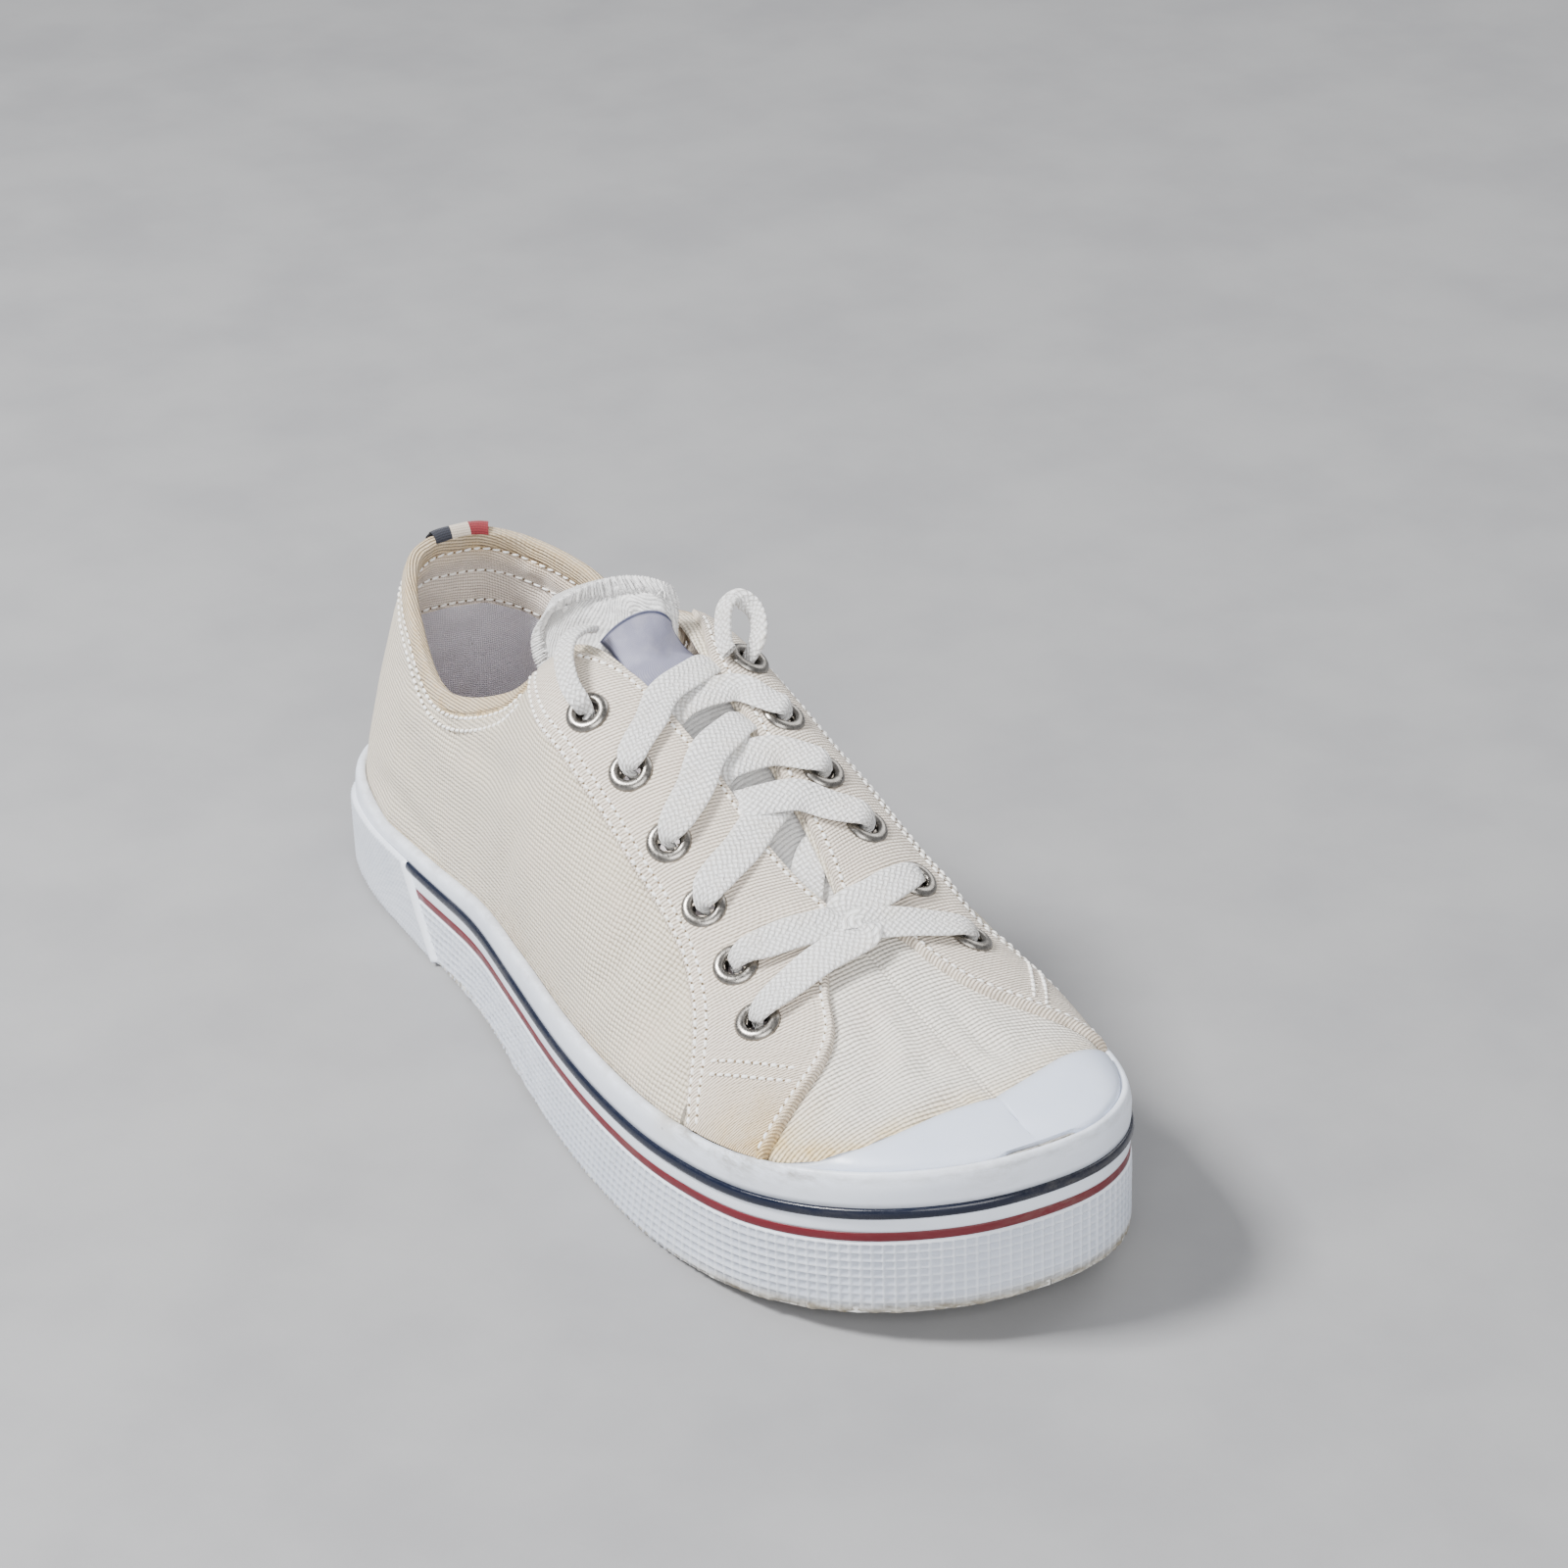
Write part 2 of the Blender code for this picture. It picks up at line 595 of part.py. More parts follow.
def bed_normal(a, c, depth):
    a = min(max(a, 0.1), 4.9)
    c = min(max(c, 0.03), 0.97)
    along = lacing_bed([a + 0.05], c, depth) - lacing_bed([a - 0.05], c, depth)
    across = lacing_bed([a], c + 0.02, depth) - lacing_bed([a], c - 0.02, depth)
    n = np.cross(along, across)[0]
    n = n if n[2] > 0.0 else -n
    return n / np.linalg.norm(n)


# Tongue: from under the vamp, below the eyestays and up past the collar.
TONGUE_DEPTH = -CANVAS_T - 1.5
TONGUE_ROWS = 12
across = np.linspace(-1.0, 1.0, 9)
tongue = []
for k in range(TONGUE_ROWS):
    share = k / (TONGUE_ROWS - 1.0)
    reach = 0.36 + 0.06 * share
    tongue.append(lacing_bed(np.full(9, 5.2 * (1.0 - share)), 0.5 + reach * across, TONGUE_DEPTH))
# Past the throat each row runs from its lateral edge over its middle to its medial edge.
TONGUE_TOP = [
    ((129.0, -16.5, 92.5), (132.2, 1.0, 101.7), (134.0, 14.6, 96.4)),
    ((113.0, -13.5, 89.5), (128.2, 0.4, 107.0), (130.0, 9.0, 103.0)),
    ((99.0, -14.0, 88.5), (124.5, -0.3, 111.0), (128.5, 9.5, 108.0)),
    ((96.0, -14.0, 97.0), (121.3, -1.1, 115.0), (127.5, 10.5, 112.0)),
    ((104.5, -12.5, 108.5), (118.9, -1.9, 118.9), (126.0, 10.0, 116.0)),
]
for ends in TONGUE_TOP:
    left, middle, right = resized(ends)
    row = np.outer(1.0 - across**2, middle)
    row += np.outer(0.5 * (across**2 - across), left)
    row += np.outer(0.5 * (across**2 + across), right)
    tongue.append(row)
tongue_points = np.vstack(tongue)
tongue_faces = split(grid_faces(len(tongue), 9, False))
tongue_n = sheet_normals(tongue_points, tongue_faces)
if tongue_n[:, 2].mean() < 0.0:
    tongue_faces = [f[::-1] for f in tongue_faces]
    tongue_n = -tongue_n
shell, shell_faces = thicken(tongue_points, tongue_faces, 0.0, -TONGUE_T)
finish("tongue", shell, shell_faces, "tongue")

# Blank label sewn on the tongue above the laces.
pick = [r * 9 + c for r in range(10, 15) for c in range(2, 7)]
label_p = tongue_points[pick] * 1.0
label_p[:5] += (tongue_points[pick[5:10]] - tongue_points[pick[:5]]) * 0.6
two_skins("tongue_label", label_p, tongue_n[pick], 5, 5, GAP, GAP + 0.4, "tongue_label")

# Heel ribbon down the back seam, standing a little above the collar.
TAPE_W = 17.0
TAPE_LEAN = 6.5
round_heel = np.linspace(-2.5, 2.5, 101)
tape_p = []
tape_n = []
for w in (0.04, 0.25, 0.5, 0.7, 0.86, 0.93, 0.99):
    y = rib(round_heel, w)[:, 1]
    middle = TAPE_LEAN * w**2
    u = np.interp(np.linspace(middle + 0.5 * TAPE_W, middle - 0.5 * TAPE_W, 5), y[::-1], round_heel[::-1])
    n = rib_normal(u, w)
    tape_n.append(n)
    tape_p.append(rib(u, w) + n * (BIND_T if w > 0.9 else 0.0))
tape_p.append(tape_p[-1] + np.array([0.0, 0.0, 0.8]))
tape_n.append(tape_n[-1])
two_skins("heel_tape", np.vstack(tape_p), np.vstack(tape_n), 8, 5, PANEL_GAP, PANEL_GAP + 0.6, "heel_tape")

# Eyelets: flanged rings through the eyestay and the canvas, in holes of their own.
SEAT = STAY_GAP + PANEL_T + GAP + 0.3
RING_PROFILE = [
    (RING_HOLE, -CANVAS_T - 0.4), (BARREL_R, -CANVAS_T - 0.4), (BARREL_R, SEAT),
    (RING_R, SEAT + 0.1), (RING_R - 1.3, SEAT + 1.3), (RING_HOLE, SEAT + 0.5),
]
RING_SIDES = 10


def on_axis(p, n, profile, sides):
    """Points of a turned profile standing on a point along a direction."""
    side = np.cross(n, [1.0, 0.0, 0.0])
    side /= np.linalg.norm(side)
    other = np.cross(n, side)
    turn = np.arange(sides) * 2.0 * math.pi / sides
    rings = []
    for r, h in profile:
        rings.append(p + n * h + np.outer(np.cos(turn), side) * r + np.outer(np.sin(turn), other) * r)
    return rings


hole_points = []
hole_faces = []
eyelet_spots = []
for table, tag in ((EYELETS_LATERAL, "lateral"), (EYELETS_MEDIAL, "medial")):
    for k, (u, w) in enumerate(table):
        p = rib([u], [w])[0]
        n = rib_normal([u], [w])[0]
        eyelet_spots.append((p, n))
        rings = on_axis(p, n, RING_PROFILE, RING_SIDES)
        rings.append(rings[0])
        finish("eyelet_%s_%d" % (tag, k + 1), np.vstack(rings), grid_faces(len(rings), RING_SIDES, True), "eyelet")
        rings = on_axis(p, n, [(EYELET_HOLE, -6.0), (EYELET_HOLE, 6.0)], RING_SIDES)
        first = len(hole_points) * RING_SIDES
        hole_points += rings
        hole_faces += [tuple(v + first for v in f) for f in grid_faces(2, RING_SIDES, True)]
        hole_faces.append(tuple(first + v for v in reversed(range(RING_SIDES))))
        hole_faces.append(tuple(first + RING_SIDES + v for v in range(RING_SIDES)))


def to_cutter(ob):
    parts.objects.unlink(ob)
    cutters.objects.link(ob)
    ob.hide_render = True
    ob.display_type = "WIRE"


def carve(ob, tool, how):
    mod = ob.modifiers.new(how.lower(), "BOOLEAN")
    mod.operation = how
    mod.solver = "EXACT"
    mod.object = tool


holes = finish("eyelet_holes", np.vstack(hole_points), hole_faces, "eyelet", False)
to_cutter(holes)
carve(upper, holes, "DIFFERENCE")
for panel in eyestays:
    carve(panel, holes, "DIFFERENCE")

# Lace crossings: flat bands over the lacing bed, clear of rings, eyestays and tongue.
# Each band is a route of eyelet row, share across and height above the canvas.
OVER = SEAT + 1.3 + 0.74 + 0.5 * LACE_T
MID = OVER - 0.43
BANDS = [
    [(5.0, -0.04, OVER), (4.95, 0.22, MID + 0.5), (4.80, 0.5, MID + 0.6), (4.86, 0.78, MID + 0.5), (5.0, 1.04, OVER + 0.15)],
    [(4.0, -0.04, OVER), (4.12, 0.22, MID), (4.38, 0.5, MID), (4.2, 0.78, MID), (4.0, 1.04, OVER)],
    [(3.0, -0.04, OVER), (2.8, 0.2, MID), (2.5, 0.46, MID), (2.18, 0.74, MID)],
    [(3.0, 1.04, OVER), (2.8, 0.8, MID + 0.3), (2.5, 0.54, MID + 0.3), (2.18, 0.26, MID)],
    [(2.0, -0.04, OVER), (1.8, 0.2, MID + 0.3), (1.5, 0.46, MID + 0.3), (1.1, 0.8, OVER)],
    [(2.0, 1.04, OVER), (1.8, 0.8, MID), (1.5, 0.54, MID), (1.1, 0.2, OVER)],
    [(1.0, -0.04, OVER), (0.8, 0.2, MID + 0.3), (0.5, 0.45, MID + 0.3), (0.3, 0.64, MID)],
    [(1.0, 1.04, OVER), (0.8, 0.8, MID), (0.52, 0.55, MID), (0.35, 0.36, MID - 0.2)],
    [(2.7, 0.58, MID - 0.3), (3.2, 0.54, MID - 0.3), (3.7, 0.50, MID - 0.3), (4.3, 0.46, MID - 0.2)],
]
bands = []
for index, route in enumerate(BANDS):
    steps = 9 if index < 2 else 6
    way = curve_at(route, np.linspace(0.0, len(route) - 1.0, steps), False)
    spots = np.array([lacing_bed([a], c, h)[0] for a, c, h in way])
    ahead = np.gradient(spots, axis=0)
    ahead /= np.linalg.norm(ahead, axis=1)[:, None]
    spans = []
    for k in range(steps):
        up = bed_normal(way[k][0], way[k][1], way[k][2])
        wide = np.cross(ahead[k], up)
        wide /= np.linalg.norm(wide)
        up = np.cross(wide, ahead[k])
        half_w = 0.5 * LACE_W * (0.62 if k == 0 or (index < 2 and k == steps - 1) else 1.0)
        half_t = 0.5 * LACE_T
        corners = [(-half_w, -half_t), (half_w, -half_t), (half_w, half_t), (-half_w, half_t)]
        spans.append(np.array([spots[k] + wide * i + up * j for i, j in corners]))
    bands.append(band_solid("lace" if index == 0 else "lace_band_%d" % index, spans, "lace"))
for ob in bands[1:]:
    to_cutter(ob)
    carve(bands[0], ob, "UNION")

# The two lace ends: plain cords out of the top eyelets and over the eyestay tops.
END_LATERAL = [
    (143.6, -25.6, 102.0), (139.0, -25.9, 104.6), (131.4, -23.4, 108.4), (124.8, -18.2, 109.4), (120.8, -12.6, 108.6),
]
END_MEDIAL = [
    (146.7, 21.9, 105.7), (143.4, 25.0, 110.2), (138.0, 26.0, 114.0), (136.2, 22.0, 117.0), (137.3, 18.0, 116.2),
    (140.3, 15.2, 111.4), (142.4, 13.6, 107.0),
]
CORD_R = 1.9
for name, route in (("lace_end_lateral", END_LATERAL), ("lace_end_medial", END_MEDIAL)):
    way = curve_at(resized(route), np.linspace(0.0, len(route) - 1.0, 13), False)
    line = bpy.data.curves.new(name, "CURVE")
    line.dimensions = "3D"
    line.bevel_depth = CORD_R * 0.001
    line.bevel_resolution = 2
    line.use_fill_caps = True
    spline = line.splines.new("POLY")
    spline.points.add(len(way) - 1)
    for point, spot in zip(spline.points, place(way)):
        point.co = (*spot, 1.0)
    cord = bpy.data.objects.new(name, line)
    parts.objects.link(cord)
    mat = bpy.data.materials.new(name)
    mat.use_nodes = True
    mat.node_tree.nodes["Principled BSDF"].inputs["Base Color"].default_value = (*COLOURS["lace"][0], 1.0)
    mat.node_tree.nodes["Principled BSDF"].inputs["Roughness"].default_value = COLOURS["lace"][1]
    line.materials.append(mat)
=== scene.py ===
import math

import bmesh
import bpy
import numpy as np
from mathutils import Matrix, Vector


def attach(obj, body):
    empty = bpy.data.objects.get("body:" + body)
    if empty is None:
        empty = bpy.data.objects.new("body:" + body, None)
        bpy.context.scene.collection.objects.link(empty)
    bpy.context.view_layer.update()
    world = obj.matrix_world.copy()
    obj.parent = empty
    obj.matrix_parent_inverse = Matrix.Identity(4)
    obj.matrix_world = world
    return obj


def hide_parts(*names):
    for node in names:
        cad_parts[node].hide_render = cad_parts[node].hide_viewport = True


# Looks of the low canvas sneaker. Lengths are millimetres in the shoe's own frame:
# X from heel to toe, Y toward the medial side, Z up. place() gives the row frame.

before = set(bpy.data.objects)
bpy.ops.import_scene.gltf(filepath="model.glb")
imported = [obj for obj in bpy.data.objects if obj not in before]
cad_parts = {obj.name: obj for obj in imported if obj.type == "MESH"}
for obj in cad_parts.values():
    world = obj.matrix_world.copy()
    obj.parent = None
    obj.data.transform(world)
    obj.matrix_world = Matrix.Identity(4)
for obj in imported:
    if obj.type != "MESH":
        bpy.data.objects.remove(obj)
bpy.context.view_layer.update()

# Camera: the photo's angle to the shoe.
AZIMUTH, ELEVATION, ROLL = math.radians(60.6632), math.radians(28.4606), math.radians(-2.0117)
DISTANCE = 1063.8
TARGET = (177.068, 11.051, 83.690)
LENS = 101.25

# Sizes and tables of the part's source.
SOLE_L = 300.0
DRAWN_L = 300.0
SIZE = SOLE_L / DRAWN_L
TOE_SPRING = 10.4
ARCH_LIFT = 1.4
HEEL_TOP = 88.5
STRIPE_HEEL = 17.5
STRIPE_MID = 28.2
STRIPE_APART = 6.3
FOX_T = 3.0
CANVAS_T = 2.0
PANEL_T = 1.0
PATCH_REACH = 80.2
GAP = 0.3
PANEL_GAP = 0.5
STAY_GAP = 0.7
BED_HEEL = 15.0
BED_TOE = 12.0
TONGUE_T = 3.2
LACE_W = 8.6
BIND_T = 0.7
UPWARD = np.array([0.0, 0.0, 1.0])

# Plan of the sole as shares of the length and half widths, from the heel round the
# lateral side to the toe and back along the medial side.
SOLE_PLAN = [
    (0.000, 0.0), (0.009, -18.0), (0.045, -30.6), (0.12, -36.8),
    (0.22, -38.9), (0.34, -41.0), (0.46, -47.0), (0.58, -52.3),
    (0.68, -54.3), (0.77, -52.9), (0.86, -46.8), (0.935, -33.1),
    (0.985, -13.3), (1.000, 6.5), (0.99, 24.1), (0.95, 38.8),
    (0.88, 47.8), (0.79, 52.9), (0.69, 51.6), (0.58, 45.3),
    (0.46, 39.6), (0.34, 39.0), (0.22, 40.5), (0.12, 38.6),
    (0.045, 31.4), (0.009, 18.5),
]
STATIONS = len(SOLE_PLAN)
# Plan points whose ribs end at the front of the throat, and the one at the toe.
FRONT_L = 9
FRONT_M = 17
TOE = 13

# Edge of collar and throat, from the throat front along the lateral side, round
# the heel and back along the medial side. One point for each plan point.
EDGE_LATERAL = [
    (12.0, 5.0, HEEL_TOP), (12.6, -3.5, 88.2), (19.5, -12.0, 86.6), (38.0, -20.5, 81.2),
    (66.0, -26.5, 73.2), (97.0, -21.5, 83.6), (121.0, -10.5, 104.0), (160.0, -5.5, 94.8),
    (196.0, -2.0, 76.0),
]
EDGE_MEDIAL = [
    (196.0, 7.5, 77.6), (160.0, 9.5, 94.6), (122.0, 13.0, 105.6), (97.0, 26.5, 88.0),
    (66.0, 33.0, 76.0), (38.0, 33.0, 79.6), (19.5, 26.0, 83.2), (12.6, 14.5, 87.4),
]
# Ridge of the vamp, from the throat front to the toe.
RIDGE = [(218.0, 4.0, 66.0), (245.0, 6.0, 56.6), (268.0, 7.0, 50.6), (282.0, 7.0, 47.9), (288.5, 7.0, 46.2)]
# How full each rib is between the sole and the top edge: 1 is straight, 2 is round.
FULLNESS = [
    1.35, 1.25, 1.15, 1.15, 1.3, 1.6, 2.1, 1.75, 1.5, 1.42, 1.5, 1.8, 2.0,
    2.0, 2.0, 2.0, 1.8, 1.7, 1.9, 2.1, 2.2, 1.7, 1.3, 1.2, 1.2, 1.3,
]
# White band above the blue line, as shares of the length and heights.
BAND_SHARE = [0.0, 0.03, 0.065, 0.137, 0.25, 0.5, 1.0]
BAND_HEIGHT = [13.0, 10.8, 8.2, 4.2, 5.2, 8.3, 9.2]

# Eyelets as plan positions of the rib and shares up the rib, top row first.
EYELETS_LATERAL = [(6.41, 0.74), (6.91, 0.72), (7.43, 0.68), (7.93, 0.65), (8.50, 0.60), (9.16, 0.52)]
EYELETS_MEDIAL = [(19.53, 0.81), (19.02, 0.83), (18.56, 0.81), (18.13, 0.76), (17.65, 0.67), (16.98, 0.57)]


def between(a, b, c, d, t):
    """Smooth curve from b to c, with a before and d after them."""
    return 0.5 * (2 * b + (c - a) * t + (2 * a - 5 * b + 4 * c - d) * t**2 + (3 * b - a - 3 * c + d) * t**3)


def curve_at(points, u, closed):
    """Smooth curve through given points; u counts the points."""
    p = np.asarray(points, float)
    if p.ndim == 1:
        p = p[:, None]
    m = len(p)
    u = np.atleast_1d(np.asarray(u, float))
    if closed:
        u = np.mod(u, m)
        i = np.floor(u).astype(int)
        near = [p[(i + k) % m] for k in (-1, 0, 1, 2)]
    else:
        u = np.clip(u, 0.0, m - 1.0)
        i = np.minimum(np.floor(u).astype(int), m - 2)
        near = [p[np.clip(i + k, 0, m - 1)] for k in (-1, 0, 1, 2)]
    return between(*near, (u - i)[:, None])


def run_along(p):
    """Length of a line of points up to each of them."""
    return np.concatenate([[0.0], np.cumsum(np.linalg.norm(np.diff(p, axis=0), axis=1))])


def sample(where, run, p):
    """Points, or other rows, at set lengths along a line."""
    return np.stack([np.interp(where, run, p[:, k]) for k in range(p.shape[1])], -1)


def bell(d, width):
    return np.exp(-(d / width)**2)


def rounded(d, radius):
    """Quarter circle: 0 on an edge and 1 from the radius inward."""
    return np.sqrt(np.clip(1.0 - (1.0 - np.clip(d / radius, 0.0, 1.0))**2, 0.0, 1.0))


PLAN_MM = [(share * SOLE_L, y * SIZE) for share, y in SOLE_PLAN]


def resized(points):
    """Given points moved with the length of the shoe; heights have their own values."""
    return [(x * SIZE, y * SIZE, z) for x, y, z in points]


def plan(u, inset=0.0):
    """Plan curve of the sole, moved inward."""
    q = curve_at(PLAN_MM, u, True)
    step = 0.02
    d = curve_at(PLAN_MM, np.asarray(u) + step, True) - curve_at(PLAN_MM, np.asarray(u) - step, True)
    out = np.stack([d[:, 1], -d[:, 0]], 1)
    out /= np.linalg.norm(out, axis=1)[:, None]
    return q - out * np.reshape(inset, (-1, 1))


def under(x):
    """Height of the tread above the floor: flat heel and ball, arch and toe spring."""
    s = np.asarray(x) / SOLE_L
    toe = np.clip((s - 0.70) / 0.30, 0.0, None)
    arch = np.clip((s - 0.27) / 0.30, 0.0, 1.0)
    return TOE_SPRING * toe**2 + ARCH_LIFT * np.sin(math.pi * arch)**2


def stripe_height(x):
    s = np.clip(np.asarray(x) / SOLE_L, 0.0, 1.0)
    ease = 1.0 - np.clip(1.0 - s / 0.55, 0.0, 1.0)**1.25
    late = np.clip((s - 0.75) / 0.25, 0.0, 1.0)
    return STRIPE_HEEL + (STRIPE_MID - STRIPE_HEEL) * ease - 0.7 * late


def fox_top(x):
    s = np.clip(np.asarray(x) / SOLE_L, 0.0, 1.0)
    return under(x) + stripe_height(x) + np.interp(s, BAND_SHARE, BAND_HEIGHT)


def bed(x):
    s = np.clip(np.asarray(x) / SOLE_L, 0.0, 1.0)
    return under(x) + BED_HEEL + (BED_TOE - BED_HEEL) * s


CREST = resized(RIDGE)
THROAT = [CREST[0]] + resized(EDGE_LATERAL[::-1] + EDGE_MEDIAL[::-1]) + [CREST[0]]


def edge(u):
    """Top end of each rib: throat and collar edge, or the ridge of the vamp."""
    u = np.mod(np.atleast_1d(np.asarray(u, float)), STATIONS)
    ahead = (u >= FRONT_L) & (u <= FRONT_M)
    along = np.where(u < FRONT_L, FRONT_L - u, FRONT_L + STATIONS - u)
    rim = curve_at(THROAT, along, False)
    crest = curve_at(CREST, np.where(u <= TOE, u - FRONT_L, FRONT_M - u), False)
    return np.where(ahead[:, None], crest, rim)


def rib(u, w):
    """Outside of the canvas: u names the rib round the sole, w runs up it."""
    u = np.atleast_1d(np.asarray(u, float))
    w = np.broadcast_to(np.asarray(w, float), u.shape)
    foot = plan(u, FOX_T + GAP)
    z = fox_top(plan(u)[:, 0])
    top = edge(u)
    power = 2.0 / curve_at(FULLNESS, u, True)[:, 0]
    angle = 0.5 * math.pi * np.clip(w, 0.0, 1.0)
    across = 1.0 - np.clip(np.cos(angle), 0.0, 1.0)**power
    up = np.clip(np.sin(angle), 0.0, 1.0)**power
    xy = foot + (top[:, :2] - foot) * across[:, None]
    return np.column_stack([xy, z + (top[:, 2] - z) * up])


def rib_normal(u, w):
    u = np.atleast_1d(np.asarray(u, float))
    w = np.broadcast_to(np.asarray(w, float), u.shape)
    w0 = np.clip(w - 0.02, 0.0, 1.0)
    w1 = np.clip(w + 0.02, 0.0, 1.0)
    along = rib(u + 0.02, w) - rib(u - 0.02, w)
    rise = rib(u, w1) - rib(u, w0)
    n = np.cross(along, rise)
    return n / np.linalg.norm(n, axis=1)[:, None]


X_MID = 0.5 * SOLE_L
PLAN_FINE = plan(np.arange(0.0, STATIONS, 0.1))
Y_MID = 0.5 * (PLAN_FINE[:, 1].min() + PLAN_FINE[:, 1].max())


def place(p):
    p = np.asarray(p, float).reshape(-1, 3)
    return (p - np.array([X_MID, Y_MID, 0.0])) * 0.001



# camera
def toward(azimuth, elevation):
    return np.array([math.sin(azimuth) * math.cos(elevation), -math.cos(azimuth) * math.cos(elevation),
                     math.sin(elevation)])


back = toward(AZIMUTH, ELEVATION)
right = np.cross(-back, [0.0, 0.0, 1.0])
right /= np.linalg.norm(right)
above = np.cross(right, -back)
right_r = math.cos(ROLL) * right + math.sin(ROLL) * above
above_r = -math.sin(ROLL) * right + math.cos(ROLL) * above
spot = place(np.array(TARGET) + back * DISTANCE)[0]
eye = bpy.data.cameras.new("camera")
eye.lens = LENS
eye.sensor_width = 36.0
eye.sensor_fit = "HORIZONTAL"
eye.clip_start = 0.05
eye.clip_end = 20.0
camera = bpy.data.objects.new("camera", eye)
bpy.context.scene.collection.objects.link(camera)
camera.matrix_world = Matrix([
    [right_r[0], above_r[0], back[0], spot[0]],
    [right_r[1], above_r[1], back[1], spot[1]],
    [right_r[2], above_r[2], back[2], spot[2]],
    [0.0, 0.0, 0.0, 1.0],
])
bpy.context.scene.camera = camera


# materials
class Look:
    """One material's nodes, written as plain calls. Lengths in the maps are millimetres."""

    def __init__(self, name, rough=0.6, metal=0.0, sheen=0.0, coat=0.0, specular=0.5):
        self.mat = bpy.data.materials.new(name)
        self.mat.use_nodes = True
        self.tree = self.mat.node_tree
        self.shader = self.tree.nodes["Principled BSDF"]
        self.shader.inputs["Roughness"].default_value = rough
        self.shader.inputs["Metallic"].default_value = metal
        self.shader.inputs["Specular IOR Level"].default_value = specular
        if sheen > 0.0:
            self.shader.inputs["Sheen Weight"].default_value = sheen
            self.shader.inputs["Sheen Roughness"].default_value = 0.5
        if coat > 0.0:
            self.shader.inputs["Coat Weight"].default_value = coat
            self.shader.inputs["Coat Roughness"].default_value = 0.2
        self.last = None

    def node(self, kind):
        return self.tree.nodes.new(kind)

    def put(self, socket, value):
        if isinstance(value, (int, float)):
            socket.default_value = value
        elif isinstance(value, tuple):
            socket.default_value = value if len(value) == len(socket.default_value) else (*value, 1.0)
        else:
            self.tree.links.new(value, socket)

    def math(self, op, a, b=None, c=None):
        n = self.node("ShaderNodeMath")
        n.operation = op
        for k, v in enumerate((a, b, c)):
            if v is not None:
                self.put(n.inputs[k], v)
        return n.outputs[0]

    def mul(self, a, b):
        return self.math("MULTIPLY", a, b)

    def add(self, a, b):
        return self.math("ADD", a, b)

    def ramp(self, value, low, high, to_low=0.0, to_high=1.0, smooth=True):
        n = self.node("ShaderNodeMapRange")
        n.interpolation_type = "SMOOTHSTEP" if smooth else "LINEAR"
        self.put(n.inputs["Value"], value)
        for key, v in (("From Min", low), ("From Max", high), ("To Min", to_low), ("To Max", to_high)):
            n.inputs[key].default_value = v
        return n.outputs[0]

    def mix(self, share, a, b, how="MIX"):
        n = self.node("ShaderNodeMix")
        n.data_type = "RGBA"
        n.blend_type = how
        self.put(n.inputs[0], share)
        self.put(n.inputs[6], a)
        self.put(n.inputs[7], b)
        return n.outputs[2]

    def solid(self):
        """Position on the shoe in millimetres."""
        n = self.node("ShaderNodeTexCoord")
        s = self.node("ShaderNodeVectorMath")
        s.operation = "SCALE"
        s.inputs["Scale"].default_value = 1000.0
        self.tree.links.new(n.outputs["Object"], s.inputs[0])
        return s.outputs[0]

    def map(self):
        """The piece's own map in millimetres: across and along the cloth."""
        n = self.node("ShaderNodeUVMap")
        n.uv_map = "UVMap"
        s = self.node("ShaderNodeSeparateXYZ")
        self.tree.links.new(n.outputs[0], s.inputs[0])
        return n.outputs[0], s.outputs[0], s.outputs[1]

    def noise(self, where, size, detail=3.0, rough=0.55, stretch=None):
        """Noise with features of about the given size in millimetres, 0 to 1."""
        if stretch is not None:
            s = self.node("ShaderNodeVectorMath")
            s.operation = "MULTIPLY"
            self.tree.links.new(where, s.inputs[0])
            s.inputs[1].default_value = stretch
            where = s.outputs[0]
        n = self.node("ShaderNodeTexNoise")
        n.inputs["Scale"].default_value = 1.0 / size
        n.inputs["Detail"].default_value = detail
        n.inputs["Roughness"].default_value = rough
        self.tree.links.new(where, n.inputs["Vector"])
        return n.outputs["Fac"]

    def cells(self, where, size):
        n = self.node("ShaderNodeTexVoronoi")
        n.inputs["Scale"].default_value = 1.0 / size
        self.tree.links.new(where, n.inputs["Vector"])
        return n.outputs["Distance"]

    def attr(self, name):
        n = self.node("ShaderNodeAttribute")
        n.attribute_name = name
        return n.outputs["Fac"]

    def bump(self, height, depth_mm, strength=1.0):
        n = self.node("ShaderNodeBump")
        n.inputs["Distance"].default_value = depth_mm * 0.001
        n.inputs["Strength"].default_value = strength
        self.tree.links.new(height, n.inputs["Height"])
        if self.last is not None:
            self.tree.links.new(self.last, n.inputs["Normal"])
        self.last = n.outputs[0]
        self.tree.links.new(self.last, self.shader.inputs["Normal"])

    def colour(self, value):
        self.put(self.shader.inputs["Base Color"], value)

    def rough(self, value):
        self.put(self.shader.inputs["Roughness"], value)

    def weave(self, s, t, pitch_s, pitch_t):
        """Plain weave, over one and under one: 0 in the pores and 1 on the threads."""
        cs = self.math("COSINE", self.mul(s, math.pi / pitch_s))
        ct = self.math("COSINE", self.mul(t, math.pi / pitch_t))
        strength = self.math("ABSOLUTE", cs)
        half = self.mul(ct, self.math("SIGN", cs))
        up = self.mul(strength, self.math("MULTIPLY_ADD", half, 0.5, 0.5))
        over = self.mul(self.math("SIGN", ct), cs)
        side = self.mul(self.math("ABSOLUTE", ct), self.math("MULTIPLY_ADD", over, -0.5, 0.5))
        return self.math("MAXIMUM", up, side)


